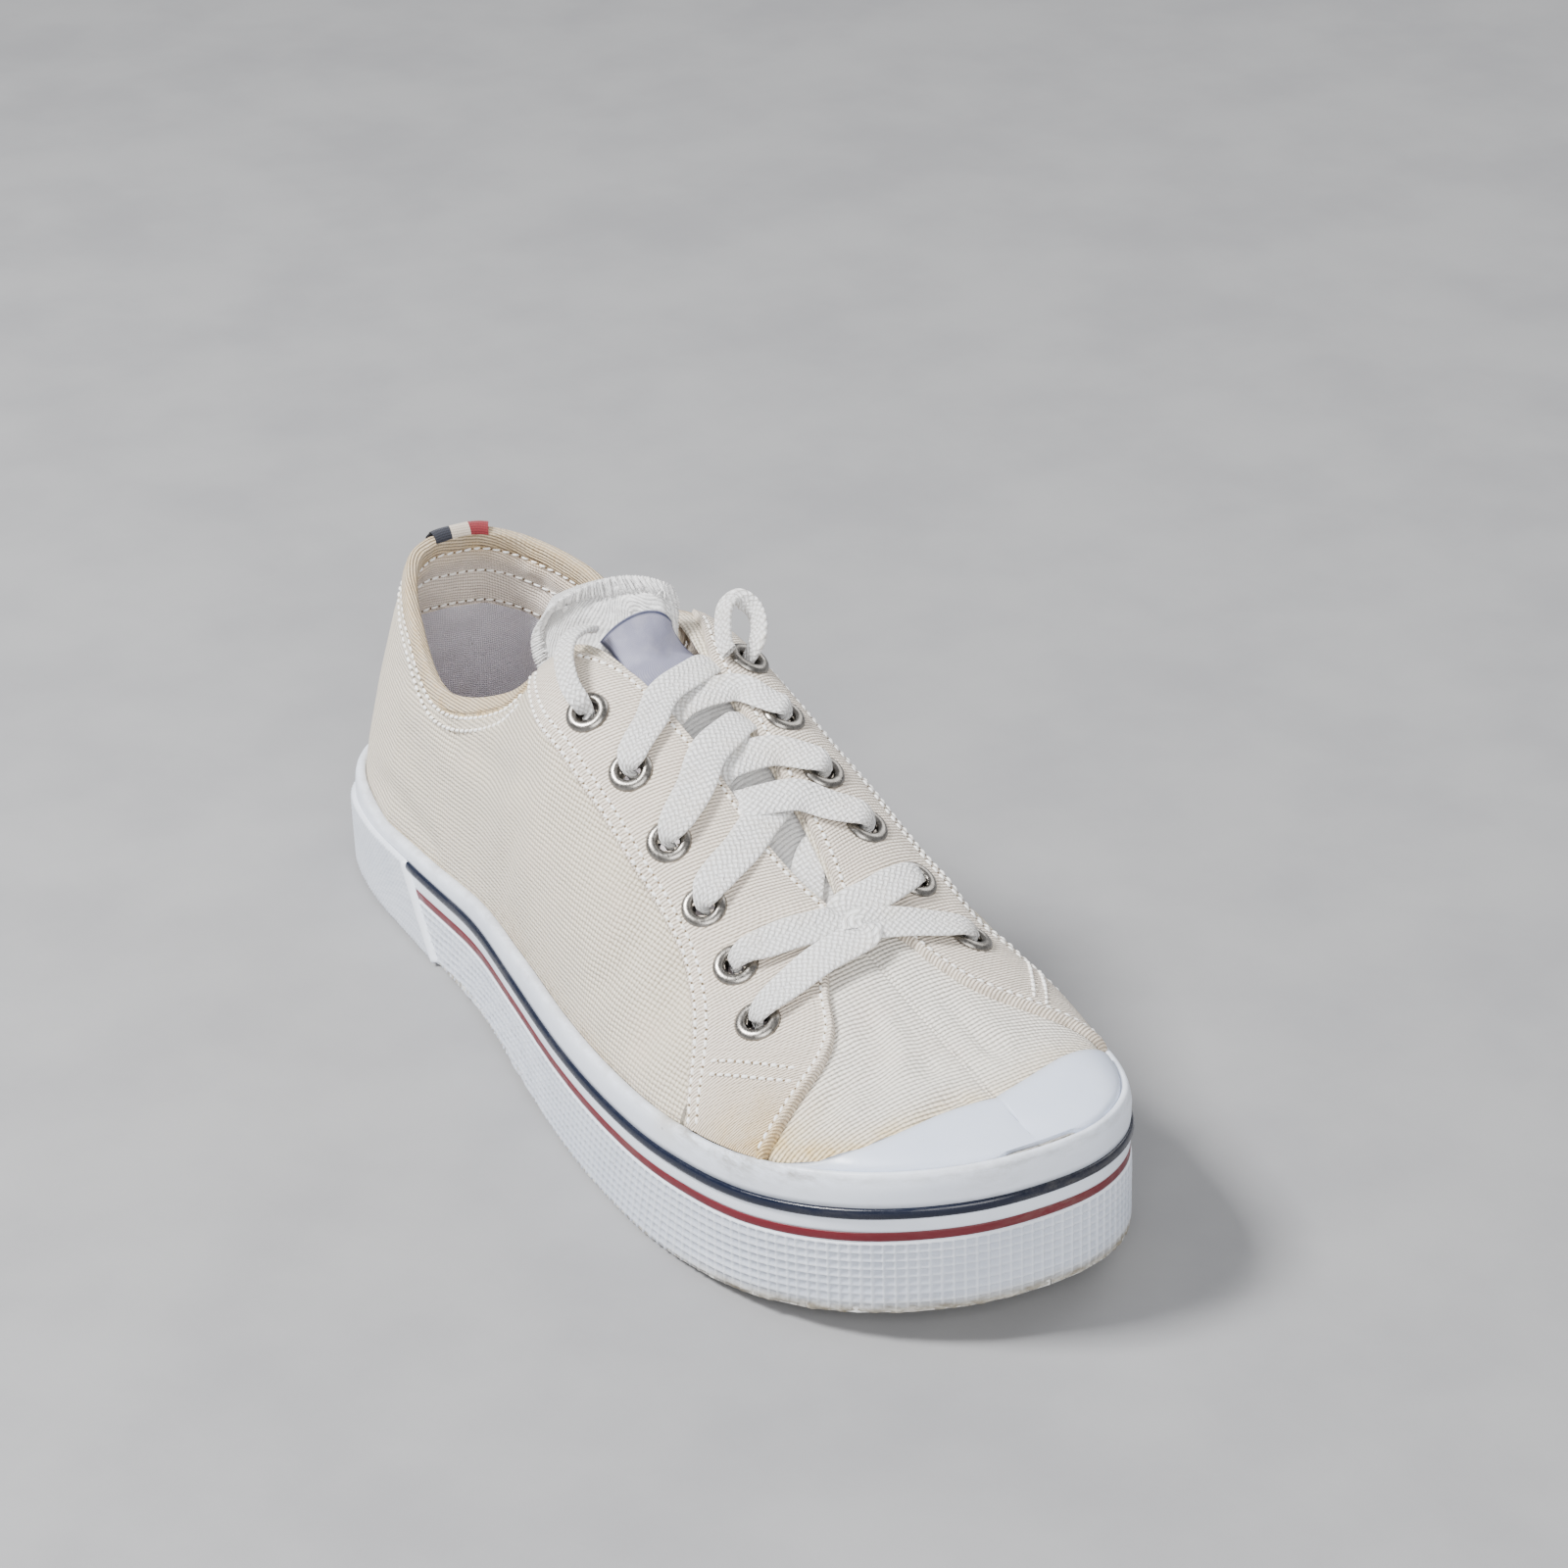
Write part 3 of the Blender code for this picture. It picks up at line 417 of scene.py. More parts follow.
def srgb(r, g, b):
    """Colour from screen values of 0 to 255."""
    out = []
    for v in (r, g, b):
        v = v / 255.0
        out.append(v / 12.92 if v <= 0.04045 else ((v + 0.055) / 1.055)**2.4)
    return tuple(out)


# meshes
def make(name, points, faces, maps=None, marks=None, looks=(), which=None):
    """One mesh piece from points in the shoe's frame; maps are per point, in millimetres."""
    points = np.asarray(points, float)
    faces = np.asarray(faces, int)
    mesh = bpy.data.meshes.new(name)
    mesh.vertices.add(len(points))
    mesh.vertices.foreach_set("co", place(points).astype(np.float32).ravel())
    size = faces.shape[1]
    mesh.loops.add(faces.size)
    mesh.loops.foreach_set("vertex_index", faces.ravel().astype(np.int32))
    mesh.polygons.add(len(faces))
    mesh.polygons.foreach_set("loop_start", (np.arange(len(faces)) * size).astype(np.int32))
    mesh.update(calc_edges=True)
    if maps is not None:
        layer = mesh.uv_layers.new(name="UVMap")
        layer.data.foreach_set("uv", np.asarray(maps, float)[faces.ravel()].astype(np.float32).ravel())
    for key, values in (marks or {}).items():
        a = mesh.attributes.new(key, "FLOAT", "POINT")
        a.data.foreach_set("value", np.asarray(values, float).ravel().astype(np.float32))
    for look in looks:
        mesh.materials.append(look)
    if which is not None:
        mesh.polygons.foreach_set("material_index", np.asarray(which, int).ravel().astype(np.int32))
    mesh.polygons.foreach_set("use_smooth", np.full(len(faces), True))
    mesh.update()
    ob = bpy.data.objects.new(name, mesh)
    bpy.context.scene.collection.objects.link(ob)
    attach(ob, "root")
    return ob


def weld_close(ob, dist_mm):
    bm = bmesh.new()
    bm.from_mesh(ob.data)
    bmesh.ops.remove_doubles(bm, verts=bm.verts, dist=dist_mm * 0.001)
    bm.to_mesh(ob.data)
    bm.free()


def quads(rows, cols, flip=False):
    r, c = np.meshgrid(np.arange(rows - 1), np.arange(cols - 1), indexing="ij")
    a = (r * cols + c).ravel()
    f = np.stack([a, a + 1, a + cols + 1, a + cols], 1)
    return f[:, ::-1] if flip else f


def grid_map(p):
    """Lengths along a grid of points: across as the mean of its rows, and from its first row."""
    across = np.linalg.norm(np.diff(p, axis=1), axis=2).mean(0)
    s = np.concatenate([[0.0], np.cumsum(across)])
    along = np.linalg.norm(np.diff(p, axis=0), axis=2)
    t = np.vstack([np.zeros(p.shape[1]), np.cumsum(along, axis=0)])
    return np.stack([np.broadcast_to(s, t.shape), t], 2).reshape(-1, 2)


def rib_grid(u, w):
    """rib() over two arrays of equal shape."""
    return rib(u.ravel(), w.ravel()).reshape(*u.shape, 3)


def normal_grid(u, w):
    return rib_normal(u.ravel(), np.clip(w.ravel(), 0.0, 0.995)).reshape(*u.shape, 3)


def near_line(p, line):
    """Distance of each point to a polyline, and how far along it the nearest place is."""
    p = np.asarray(p, float).reshape(-1, 3)
    line = np.asarray(line, float)
    best = np.full(len(p), 1e9)
    where = np.zeros(len(p))
    for k in range(len(line) - 1):
        a, b = line[k], line[k + 1]
        t = np.clip((p - a) @ (b - a) / max((b - a) @ (b - a), 1e-9), 0.0, 1.0)
        d = np.linalg.norm(p - (a + t[:, None] * (b - a)), axis=1)
        closer = d < best
        best[closer] = d[closer]
        where[closer] = (k + t[closer]) / (len(line) - 1.0)
    return best, where


def smooth01(v):
    v = np.clip(v, 0.0, 1.0)
    return v * v * (3.0 - 2.0 * v)


def ripple(p, seed, size):
    """Gentle, repeatable unevenness from a few waves, -1 to 1."""
    rng = np.random.default_rng(seed)
    out = np.zeros(len(p))
    for _ in range(7):
        way = rng.normal(size=3)
        way /= np.linalg.norm(way)
        out += np.sin(p @ way * (2.0 * math.pi / (size * rng.uniform(0.6, 1.7))) + rng.uniform(0.0, 6.28))
    return out / 4.2


# looks
def canvas_look(name, base, low, ribbed, stain=(238, 212, 150), pitch=(1.25, 1.25), soft=1.0):
    """Cotton canvas: threads, pores, slubs, yellowing, grey soil, painted seam shade and small specks."""
    k = Look(name, rough=0.9, sheen=0.25, specular=0.25)
    uv, s, t = k.map()
    p = k.solid()
    wander = k.mul(k.add(k.noise(p, 7.0, 2.0), -0.5), 0.9)
    s = k.add(s, wander)
    t = k.add(t, k.mul(wander, 0.8))
    h = k.weave(s, t, pitch[0], pitch[1])
    if ribbed > 0.0:
        line = k.math("ABSOLUTE", k.math("COSINE", k.mul(t, math.pi / pitch[1])))
        h = k.add(k.mul(h, 1.0 - ribbed), k.mul(line, ribbed))
    slub = k.noise(uv, 1.6, 2.0, stretch=(1.0, 0.16, 1.0))
    slub_b = k.noise(uv, 1.6, 2.0, stretch=(0.16, 1.0, 1.0))
    height = k.add(h, k.mul(k.add(slub, slub_b), 0.55))
    c = k.mix(k.ramp(h, 0.08, 0.8), low, base)
    c = k.mix(k.mul(k.ramp(k.noise(p, 34.0, 3.0), 0.42, 0.75), 0.35), c,
              tuple(np.array(base) * (0.93, 0.90, 0.84)))
    c = k.mix(k.mul(k.ramp(k.noise(p, 16.0, 4.0), 0.5, 0.8), 0.20), c, srgb(228, 205, 190))
    blot = k.ramp(k.noise(p, 5.0, 4.0, 0.65), 0.25, 0.75, 0.45, 1.25, False)
    c = k.mix(k.mul(k.mul(k.attr("stain"), blot), 0.85), c, srgb(*stain), "MULTIPLY")
    # Patchy grey from the mark: soil at the foot of the canvas, and painted shade along the eyestay and
    # binding edges.
    grime_and_shade = k.mul(k.attr("grime_and_shade"), k.ramp(k.noise(p, 3.0, 5.0, 0.7), 0.35, 0.75))
    c = k.mix(grime_and_shade, c, srgb(150, 138, 120), "MULTIPLY")
    speck = k.ramp(k.cells(p, 6.5), 0.045, 0.075, 1.0, 0.0)
    keep = k.ramp(k.noise(p, 14.0, 2.0), 0.56, 0.62)
    c = k.mix(k.mul(k.mul(speck, keep), 0.55), c, srgb(118, 104, 84))
    k.colour(c)
    k.rough(k.ramp(h, 0.0, 1.0, 0.98, 0.86))
    k.bump(k.noise(p, 9.0, 3.0), 0.5 * soft, 0.8)
    k.bump(height, 0.5, 1.0)
    return k.mat


def rubber_look(name, base, shade, rough=0.42, scuffs=0.5, fine=0.25, dust=0.16):
    """Vulcanised rubber with scuffs, grey rub marks, dust and painted shade in recessed cells."""
    k = Look(name, rough=rough, specular=0.45, coat=0.08)
    p = k.solid()
    c = k.mix(k.mul(k.ramp(k.noise(p, 22.0, 4.0), 0.4, 0.8), 0.5), base, shade)
    # Painted shade: recessed cells of the waffle and the heel patch are multiplied toward grey-blue.
    c = k.mix(k.mul(k.attr("recess_shade"), 0.55), c, srgb(168, 174, 186), "MULTIPLY")
    c = k.mix(k.mul(k.ramp(k.noise(p, 2.2, 5.0, 0.7), 0.56, 0.78), dust), c, srgb(176, 172, 164))
    rub = k.mul(k.attr("grime_and_shade"), k.ramp(k.noise(p, 2.6, 6.0, 0.72, stretch=(0.45, 0.45, 1.3)), 0.34, 0.66))
    c = k.mix(k.mul(rub, 0.9), c, srgb(133, 128, 118))
    c = k.mix(k.mul(k.attr("stain"), 0.8), c, srgb(205, 184, 132), "MULTIPLY")
    speck = k.mul(k.ramp(k.cells(p, 9.0), 0.03, 0.05, 1.0, 0.0), k.ramp(k.noise(p, 17.0, 2.0), 0.55, 0.6))
    c = k.mix(k.mul(speck, 0.7), c, srgb(84, 80, 74))
    k.colour(c)
    k.rough(k.add(k.ramp(k.noise(p, 4.0, 5.0, 0.7), 0.3, 0.8, rough - 0.08, rough + 0.18), k.mul(rub, 0.3)))
    k.bump(k.noise(p, 12.0, 3.0), 0.25 * scuffs, 0.6)
    k.bump(k.noise(p, 0.7, 4.0, 0.7), 0.05, fine)
    scratch = k.ramp(k.noise(p, 1.3, 4.0, 0.8, stretch=(0.15, 0.5, 2.2)), 0.62, 0.7)
    k.bump(scratch, -0.05 * scuffs, 0.6)
    return k.mat


# The quarter's and the binding's base colours are the canvas's cream, darkened below the vamp's as painted
# shade on these sides.
CREAM = srgb(233, 223, 204)
CREAM_LOW = srgb(160, 148, 128)
QUARTER = canvas_look("canvas_quarter", CREAM, CREAM_LOW, 0.15)
VAMP = canvas_look("canvas_vamp", srgb(246, 241, 231), srgb(164, 157, 146), 0.5, pitch=(1.5, 1.1), soft=1.4)
STAY = canvas_look("canvas_eyestay", srgb(243, 232, 217), srgb(182, 167, 149), 0.5, pitch=(1.4, 0.95))
BINDING = canvas_look("binding", srgb(220, 208, 190), srgb(158, 142, 120), 0.65, pitch=(1.6, 0.9))
COLLAR_BAND = canvas_look("collar_band", srgb(238, 226, 213), srgb(200, 184, 170), 0.3, pitch=(0.9, 0.9),
                          soft=1.5)
LINING = canvas_look("lining", srgb(240, 235, 243), srgb(206, 200, 212), 0.1, stain=(196, 178, 160),
                     pitch=(0.62, 0.62), soft=1.6)
INSOLE = canvas_look("insole_cloth", srgb(214, 208, 208), srgb(180, 174, 175), 0.1, pitch=(0.8, 0.8))
WHITE_RUBBER = rubber_look("white_rubber", srgb(226, 232, 243), srgb(208, 216, 230))
CAP_RUBBER = rubber_look("cap_rubber", srgb(208, 217, 235), srgb(194, 205, 227), rough=0.36)
WAFFLE_RUBBER = rubber_look("waffle_rubber", srgb(230, 235, 244), srgb(208, 215, 227), rough=0.5, fine=0.5)
NAVY = rubber_look("navy_rubber", srgb(8, 17, 38), srgb(5, 12, 28), rough=0.24, scuffs=0.15, dust=0.02)
RED = rubber_look("red_rubber", srgb(98, 10, 26), srgb(84, 8, 20), rough=0.4, scuffs=0.2, dust=0.03)


def thread_look():
    k = Look("stitch_thread", rough=0.55, sheen=0.3)
    p = k.solid()
    k.colour(k.mix(k.mul(k.ramp(k.noise(p, 12.0, 3.0), 0.4, 0.7), 0.5), srgb(255, 255, 253),
                   srgb(252, 246, 234)))
    k.bump(k.noise(p, 0.3, 2.0, stretch=(1.0, 2.5, 1.0)), 0.06, 0.8)
    return k.mat


def needle_look():
    """Painted shadow of the needle holes between the stitches: dark brown discs."""
    k = Look("needle_holes", rough=0.95, specular=0.1)
    p = k.solid()
    k.colour(k.mix(k.ramp(k.noise(p, 6.0, 3.0), 0.3, 0.7), srgb(126, 108, 86), srgb(96, 82, 64)))
    k.bump(k.noise(p, 0.3, 2.0), 0.05, 0.5)
    return k.mat


def lace_look():
    """Flat braided cotton lace: yarns run in two slants that meet along the middle."""
    k = Look("lace_braid", rough=0.85, sheen=0.35, specular=0.3)
    s, t = k.map()[1:]
    p = k.solid()
    side = k.math("ABSOLUTE", s)
    a = k.add(k.mul(side, 0.95), t)
    b = k.add(k.mul(side, -0.95), t)
    h = k.weave(k.add(a, k.mul(k.noise(p, 3.0), 0.7)), b, 1.75, 1.75)
    yarn = k.math("ABSOLUTE", k.math("SINE", k.mul(k.add(b, k.mul(side, 2.2)), math.pi / 0.45)))
    c = k.mix(k.ramp(h, 0.1, 0.85), srgb(212, 209, 205), srgb(255, 255, 255))
    c = k.mix(k.mul(k.ramp(k.noise(p, 11.0, 4.0), 0.45, 0.75), 0.35), c, srgb(226, 216, 198))
    c = k.mix(k.mul(k.ramp(k.noise(p, 2.0, 4.0, 0.7), 0.6, 0.75), 0.25), c, srgb(186, 178, 166))
    c = k.mix(k.mul(k.attr("grime_and_shade"), 0.7), c, srgb(150, 143, 132), "MULTIPLY")
    k.colour(c)
    k.bump(k.noise(p, 2.2, 4.0, 0.65), 0.35, 0.7)
    k.bump(h, 0.5, 1.0)
    k.bump(yarn, 0.10, 0.8)
    return k.mat


def terry_look():
    k = Look("terry", rough=0.95, sheen=0.5, specular=0.2)
    t = k.map()[2]
    p = k.solid()
    wander = k.mul(k.noise(p, 4.0, 3.0), 2.2)
    rib = k.math("ABSOLUTE", k.math("SINE", k.mul(k.add(t, k.mul(wander, 0.35)), math.pi / 1.3)))
    loop_h = k.noise(p, 0.8, 3.0, 0.7)
    h = k.add(k.mul(rib, 0.4), k.mul(loop_h, 0.9))
    c = k.mix(k.ramp(h, 0.3, 1.05), srgb(196, 194, 194), srgb(248, 248, 247))
    c = k.mix(k.mul(k.ramp(k.noise(p, 14.0, 3.0), 0.5, 0.8), 0.25), c, srgb(230, 220, 204))
    c = k.mix(k.mul(k.attr("grime_and_shade"), 0.7), c, srgb(170, 160, 148), "MULTIPLY")
    k.colour(c)
    k.bump(k.noise(p, 3.0, 3.0), 0.5, 0.6)
    k.bump(h, 0.45, 1.0)
    return k.mat


def label_look():
    """Blank woven satin label with a thin dark border."""
    k = Look("label_satin", rough=0.5, sheen=0.08)
    s, t = k.map()[1:]
    p = k.solid()
    h = k.weave(s, t, 0.42, 0.30)
    c = k.mix(k.ramp(h, 0.0, 1.0), srgb(112, 112, 134), srgb(148, 148, 168))
    c = k.mix(k.mul(k.ramp(k.noise(p, 5.0, 3.0), 0.4, 0.8), 0.3), c, srgb(188, 186, 194))
    c = k.mix(k.attr("border"), c, srgb(30, 36, 66))
    k.colour(c)
    k.bump(k.noise(p, 4.0, 3.0), 0.3, 0.6)
    k.bump(h, 0.06, 0.8)
    return k.mat


def metal_look():
    """Brushed nickel with dull rub marks and dirt in the rim."""
    k = Look("nickel", rough=0.3, metal=1.0)
    p = k.solid()
    c = k.mix(k.ramp(k.noise(p, 1.5, 4.0), 0.3, 0.8), srgb(164, 160, 154), srgb(126, 122, 116))
    c = k.mix(k.mul(k.attr("grime_and_shade"), 0.7), c, srgb(72, 66, 60))
    k.colour(c)
    k.rough(k.ramp(k.noise(p, 0.8, 5.0, 0.7), 0.3, 0.8, 0.22, 0.46))
    k.bump(k.noise(p, 0.35, 3.0), 0.03, 0.7)
    return k.mat


THREAD = thread_look()
NEEDLE_SHADOW = needle_look()
LACE = lace_look()
TERRY = terry_look()
LABEL = label_look()
NICKEL = metal_look()


def ribbon_look(name, base, low):
    k = Look(name, rough=0.7, sheen=0.3)
    s, t = k.map()[1:]
    h = k.weave(s, t, 0.5, 0.7)
    k.colour(k.mix(k.ramp(h, 0.1, 0.9), low, base))
    k.bump(h, 0.12, 1.0)
    return k.mat


RIBBON = [
    ribbon_look("ribbon_navy", srgb(32, 36, 52), srgb(16, 18, 28)),
    ribbon_look("ribbon_white", srgb(222, 210, 194), srgb(190, 176, 158)),
    ribbon_look("ribbon_red", srgb(150, 34, 44), srgb(104, 20, 30)),
]


# upper
def w_at(u, s):
    """Share up the rib at set distances below its top end, for each rib."""
    w = np.linspace(0.30, 1.0, 141)
    p = rib_grid(np.repeat(u[:, None], len(w), 1), np.repeat(w[None], len(u), 0))
    step = np.linalg.norm(np.diff(p, axis=1), axis=2)
    down = np.concatenate([np.cumsum(step[:, ::-1], axis=1)[:, ::-1], np.zeros((len(u), 1))], 1)
    return np.array([np.interp(s, down[k][::-1], w[::-1]) for k in range(len(u))])


def bind_share(u):
    turn = np.minimum(np.mod(u, STATIONS), STATIONS - np.mod(u, STATIONS))
    return np.clip((6.05 - turn) / 0.3, 0.0, 1.0)


def at(points):
    """Points on the canvas from pairs of rib and share."""
    q = np.asarray(points, float)
    return rib(q[:, 0], q[:, 1])


def fine(points, n=24):
    return at(curve_at(points, np.linspace(0.0, len(points) - 1.0, n), False))


# Main creases: lines on the canvas, depth and width in millimetres.
CREASES = [
    ([(16.2, 0.86), (15.85, 0.88), (15.51, 0.86), (15.3, 0.76)], 0.9, 3.2),
    ([(11.2, 0.5), (11.2, 0.67), (11.2, 0.83), (11.35, 0.97)], 0.7, 3.0),
    ([(9.67, 0.81), (9.98, 0.76), (10.28, 0.68), (10.48, 0.54)], 0.9, 3.4),
    ([(9.9, 0.96), (10.3, 0.93), (10.51, 0.89), (10.8, 0.8)], 0.7, 3.6),
    ([(9.84, 0.67), (10.06, 0.63), (10.25, 0.5), (10.32, 0.34)], 0.6, 2.6),
    ([(7.31, 0.15), (7.58, 0.34), (7.56, 0.49), (7.39, 0.6)], 0.7, 4.2),
    ([(4.21, 0.74), (4.69, 0.6), (5.62, 0.44), (6.3, 0.48)], 0.7, 4.0),
    ([(2.87, 0.57), (3.57, 0.7), (4.2, 0.68), (4.61, 0.48)], 0.6, 3.6),
    ([(2.55, 0.14), (3.3, 0.22), (3.99, 0.16), (4.37, 0.06)], 0.6, 3.6),
    ([(5.82, 0.59), (5.97, 0.42), (5.8, 0.25), (5.46, 0.06)], 0.5, 5.0),
    ([(8.08, 0.14), (8.23, 0.3), (8.19, 0.43), (7.96, 0.54)], 0.6, 3.6),
    ([(22.9, 0.6), (22.3, 0.42), (21.8, 0.3), (21.2, 0.2)], 0.9, 4.0),
    ([(20.6, 0.62), (20.3, 0.42), (20.5, 0.24), (20.9, 0.1)], 0.7, 4.5),
    ([(18.4, 0.16), (18.0, 0.34), (17.7, 0.42), (17.2, 0.4)], 0.8, 3.8),
    ([(24.4, 0.3), (23.9, 0.5), (23.4, 0.66), (22.8, 0.74)], 0.7, 3.8),
]


def creased(p, extra=0.0):
    """Soft trough with a low ridge on each side, for each crease, plus slack in the cloth."""
    move = extra * ripple(p, 5, 26.0)
    for points, depth, width in CREASES:
        d, where = near_line(p, fine(points))
        fade = smooth01(where / 0.22) * smooth01((1.0 - where) / 0.22)
        move += fade * depth * (-bell(d, width) + 0.5 * np.exp(-((d - 2.0 * width) / (1.1 * width))**2))
    return move


EYES = []
for table, tag in ((EYELETS_LATERAL, "lateral"), (EYELETS_MEDIAL, "medial")):
    for row, (eye_u, eye_w) in enumerate(table):
        EYES.append((tag, row, rib([eye_u], [eye_w])[0], rib_normal([eye_u], [eye_w])[0]))
EYE_P = np.array([v[2] for v in EYES])


def away_from_eyes(p, reach):
    return np.min(np.linalg.norm(p[:, None] - EYE_P[None], axis=2), axis=1) > reach


CAP_EDGE_U = [10.22, 10.6, 10.91, 11.1, 11.25, 11.47, 11.62, 14.42, 14.76, 15.1, 15.4, 15.65, 15.8]
CAP_EDGE_W = [0.015, 0.12, 0.31, 0.5, 0.7, 0.9, 1.0, 1.0, 0.83, 0.66, 0.48, 0.26, 0.015]
CAP_LINE = np.vstack([
    fine(list(zip(CAP_EDGE_U[:7], CAP_EDGE_W[:7])), 30), fine(list(zip(CAP_EDGE_U[7:], CAP_EDGE_W[7:])), 30)])


def stain_on(p, w):
    """Yellowing along the toe cap and at the foot of the side."""
    d, where = near_line(p, CAP_LINE)
    edge_band = bell(d, 5.0) * (0.35 + 0.65 * smooth01(1.0 - 1.6 * where))
    corner = 0.8 * bell(np.linalg.norm(p - at([(10.0, 0.03)])[0], axis=1), 17.0)
    low = 0.35 * bell(w, 0.07)
    patchy = 0.5 + 0.5 * ripple(p, 11, 30.0)
    return np.clip(edge_band + corner + low * patchy, 0.0, 1.0)


PANEL_OUTER = [(5.42, 0.87), (5.62, 0.72), (5.95, 0.60), (6.40, 0.57), (6.85, 0.56), (7.25, 0.545),
               (7.60, 0.54), (7.95, 0.52), (8.25, 0.47), (8.50, 0.41), (8.73, 0.33), (8.93, 0.23),
               (9.08, 0.12), (9.13, 0.03)]
# Distances from the top edge: below the collar padding, and away from the edge.
PAD_END = 24.2
FAR_FROM_EDGE = 50.0
# Places of the looks in the list that the upper is made with.
VAMP_SLOT, BINDING_SLOT, COLLAR_SLOT, LINING_SLOT = 1, 2, 3, 4
columns = np.linspace(0.0, STATIONS, 521)
LOW_ROWS = np.concatenate([[0.0, 0.0], np.linspace(0.0, 1.0, 36)])
EDGE_ROWS = np.array([6.2, 5.4, 5.0, 4.75, 4.5, 4.2, 3.2, 2.2])
ARCH = np.linspace(0.0, math.pi, 11)
INNER_ROWS = np.array([2.2, 3.2, 4.2, 4.5, 4.75, 5.0, 5.6, 6.6, 7.8, 9.0, 10.2, 11.4, 12.4, 13.2, 14.2,
                       15.4, 16.8, 18.2, 19.6, 21.0, 22.2, 23.4, 24.0, 24.4, 25.2, 27.0, 30.0])
bound = bind_share(columns)
rimmed = ((columns < FRONT_L) | (columns > FRONT_M)).astype(float)
edge_w = w_at(columns, np.concatenate([EDGE_ROWS, 1.2 * (1.0 - np.sin(ARCH)), INNER_ROWS]))
n_edge, n_arch = len(EDGE_ROWS), len(ARCH)
rows_w, rows_s, rows_off = [], [], []
for share in LOW_ROWS[:-1]:
    rows_w.append(edge_w[:, 0] * share)
    rows_s.append(np.full(len(columns), FAR_FROM_EDGE))
    rows_off.append(np.zeros(len(columns)))
SKIRT = (3.0, 1.2)
for k, s in enumerate(EDGE_ROWS):
    rows_w.append(edge_w[:, k])
    rows_s.append(np.full(len(columns), s))
    rows_off.append(BIND_T * bound * float(smooth01((4.85 - s) / 0.4)))
for k, angle in enumerate(ARCH):
    rows_w.append(edge_w[:, n_edge + k])
    rows_s.append(np.full(len(columns), 1.2 * (1.0 - math.sin(angle))))
    arch_off = -1.0 + (1.0 + BIND_T * bound) * math.cos(angle)
    rows_off.append(np.where(rimmed > 0.5, arch_off, -2.0 * angle / math.pi))
outer_rows = len(rows_w)
for k, s in enumerate(INNER_ROWS):
    rows_w.append(edge_w[:, n_edge + n_arch + k])
    rows_s.append(np.full(len(columns), s))
    pad_high = 1.3 * math.exp(-((s - 8.5) / 3.2)**2)
    pad_low = 0.9 * math.exp(-((s - 18.6) / 3.6)**2)
    pad_seam = 0.3 * math.exp(-((s - 13.2) / 0.8)**2)
    pad = pad_high + pad_low - pad_seam
    step = 0.5 if s < 24.0 else 0.0
    rows_off.append(-CANVAS_T - BIND_T * bound * float(smooth01((4.85 - s) / 0.4))
                    - (pad + step) * bound * rimmed)
for share in np.linspace(0.97, 0.0, 22):
    rows_w.append(edge_w[:, -1] * share)
    rows_s.append(np.full(len(columns), FAR_FROM_EDGE))
    rows_off.append(np.full(len(columns), -CANVAS_T))
rows_w, rows_s, rows_off = np.array(rows_w), np.array(rows_s), np.array(rows_off)
grid_u = np.broadcast_to(columns, rows_w.shape)
skin = rib_grid(grid_u, rows_w)
skin_n = normal_grid(grid_u, rows_w)
flat_p = skin.reshape(-1, 3)
inner_row = np.arange(len(rows_w)) >= outer_rows
hold = smooth01((rows_s - 4.0) / 6.0)
fold = creased(flat_p, 0.12).reshape(rows_w.shape)
fold *= hold * smooth01(rows_w / 0.12)
below_pad = inner_row[:, None] & (rows_s > PAD_END)
on_pad = inner_row[:, None] & (rows_s > 5.5) & (rows_s < PAD_END)
wrinkle = 0.55 * ripple(flat_p, 21, 15.0).reshape(rows_w.shape) * np.where(below_pad, 1.0, 0.0)
roll = 0.28 * ripple(flat_p, 33, 9.0).reshape(rows_w.shape) * np.where(on_pad, 1.0, 0.0)
shift = rows_off + fold - np.abs(wrinkle) * 1.2 + roll
ridge_blend = np.where(rimmed[None] > 0.5, 1.0, smooth01((1.0 - rows_w) / 0.03))
for k, drop in enumerate(SKIRT):
    skin[k, :, 2] -= drop
outer_blend = np.where(rimmed[None] > 0.5, 1.0, ridge_blend)
skin = skin + skin_n * (shift * np.where(inner_row[:, None], 1.0, outer_blend))[..., None]
floor_rows = []
foot_xy = plan(columns, FOX_T + GAP + CANVAS_T)
for share in (0.5, 1.0):
    low_z = fox_top(plan(columns)[:, 0]) * (1.0 - share) + (bed(foot_xy[:, 0]) + 1.0) * share
    floor_rows.append(np.column_stack([foot_xy, low_z]))
skin = np.concatenate([skin, np.array(floor_rows)])
rows_w = np.vstack([rows_w, np.zeros((2, len(columns)))])
rows_s = np.vstack([rows_s, np.full((2, len(columns)), FAR_FROM_EDGE)])
all_rows = len(rows_w)
base_line = rib(columns, 0.4)
around = run_along(base_line)
climb = np.linalg.norm(np.diff(skin, axis=0), axis=2)
rise = np.concatenate([np.zeros((1, len(columns))), np.cumsum(climb, axis=0)])
in_vamp = (columns > FRONT_L) & (columns < FRONT_M)
crest_row = outer_rows - n_arch // 2
side_sign = np.where(columns < TOE, -1.0, 1.0)
map_s = np.where(in_vamp[None], (rise[crest_row][None] - rise) * side_sign[None], around[None])
map_t = np.where(in_vamp[None], skin[:, :, 0], rise)
stain = stain_on(skin.reshape(-1, 3), rows_w.ravel())
collar_soil = np.where((rows_s < 6.0), 0.62, 0.0) * bound[None] + 0.35 * bell(rows_s - 7.0, 2.5) * bound[None]
stain = np.clip(stain + collar_soil.ravel(), 0.0, 1.0)
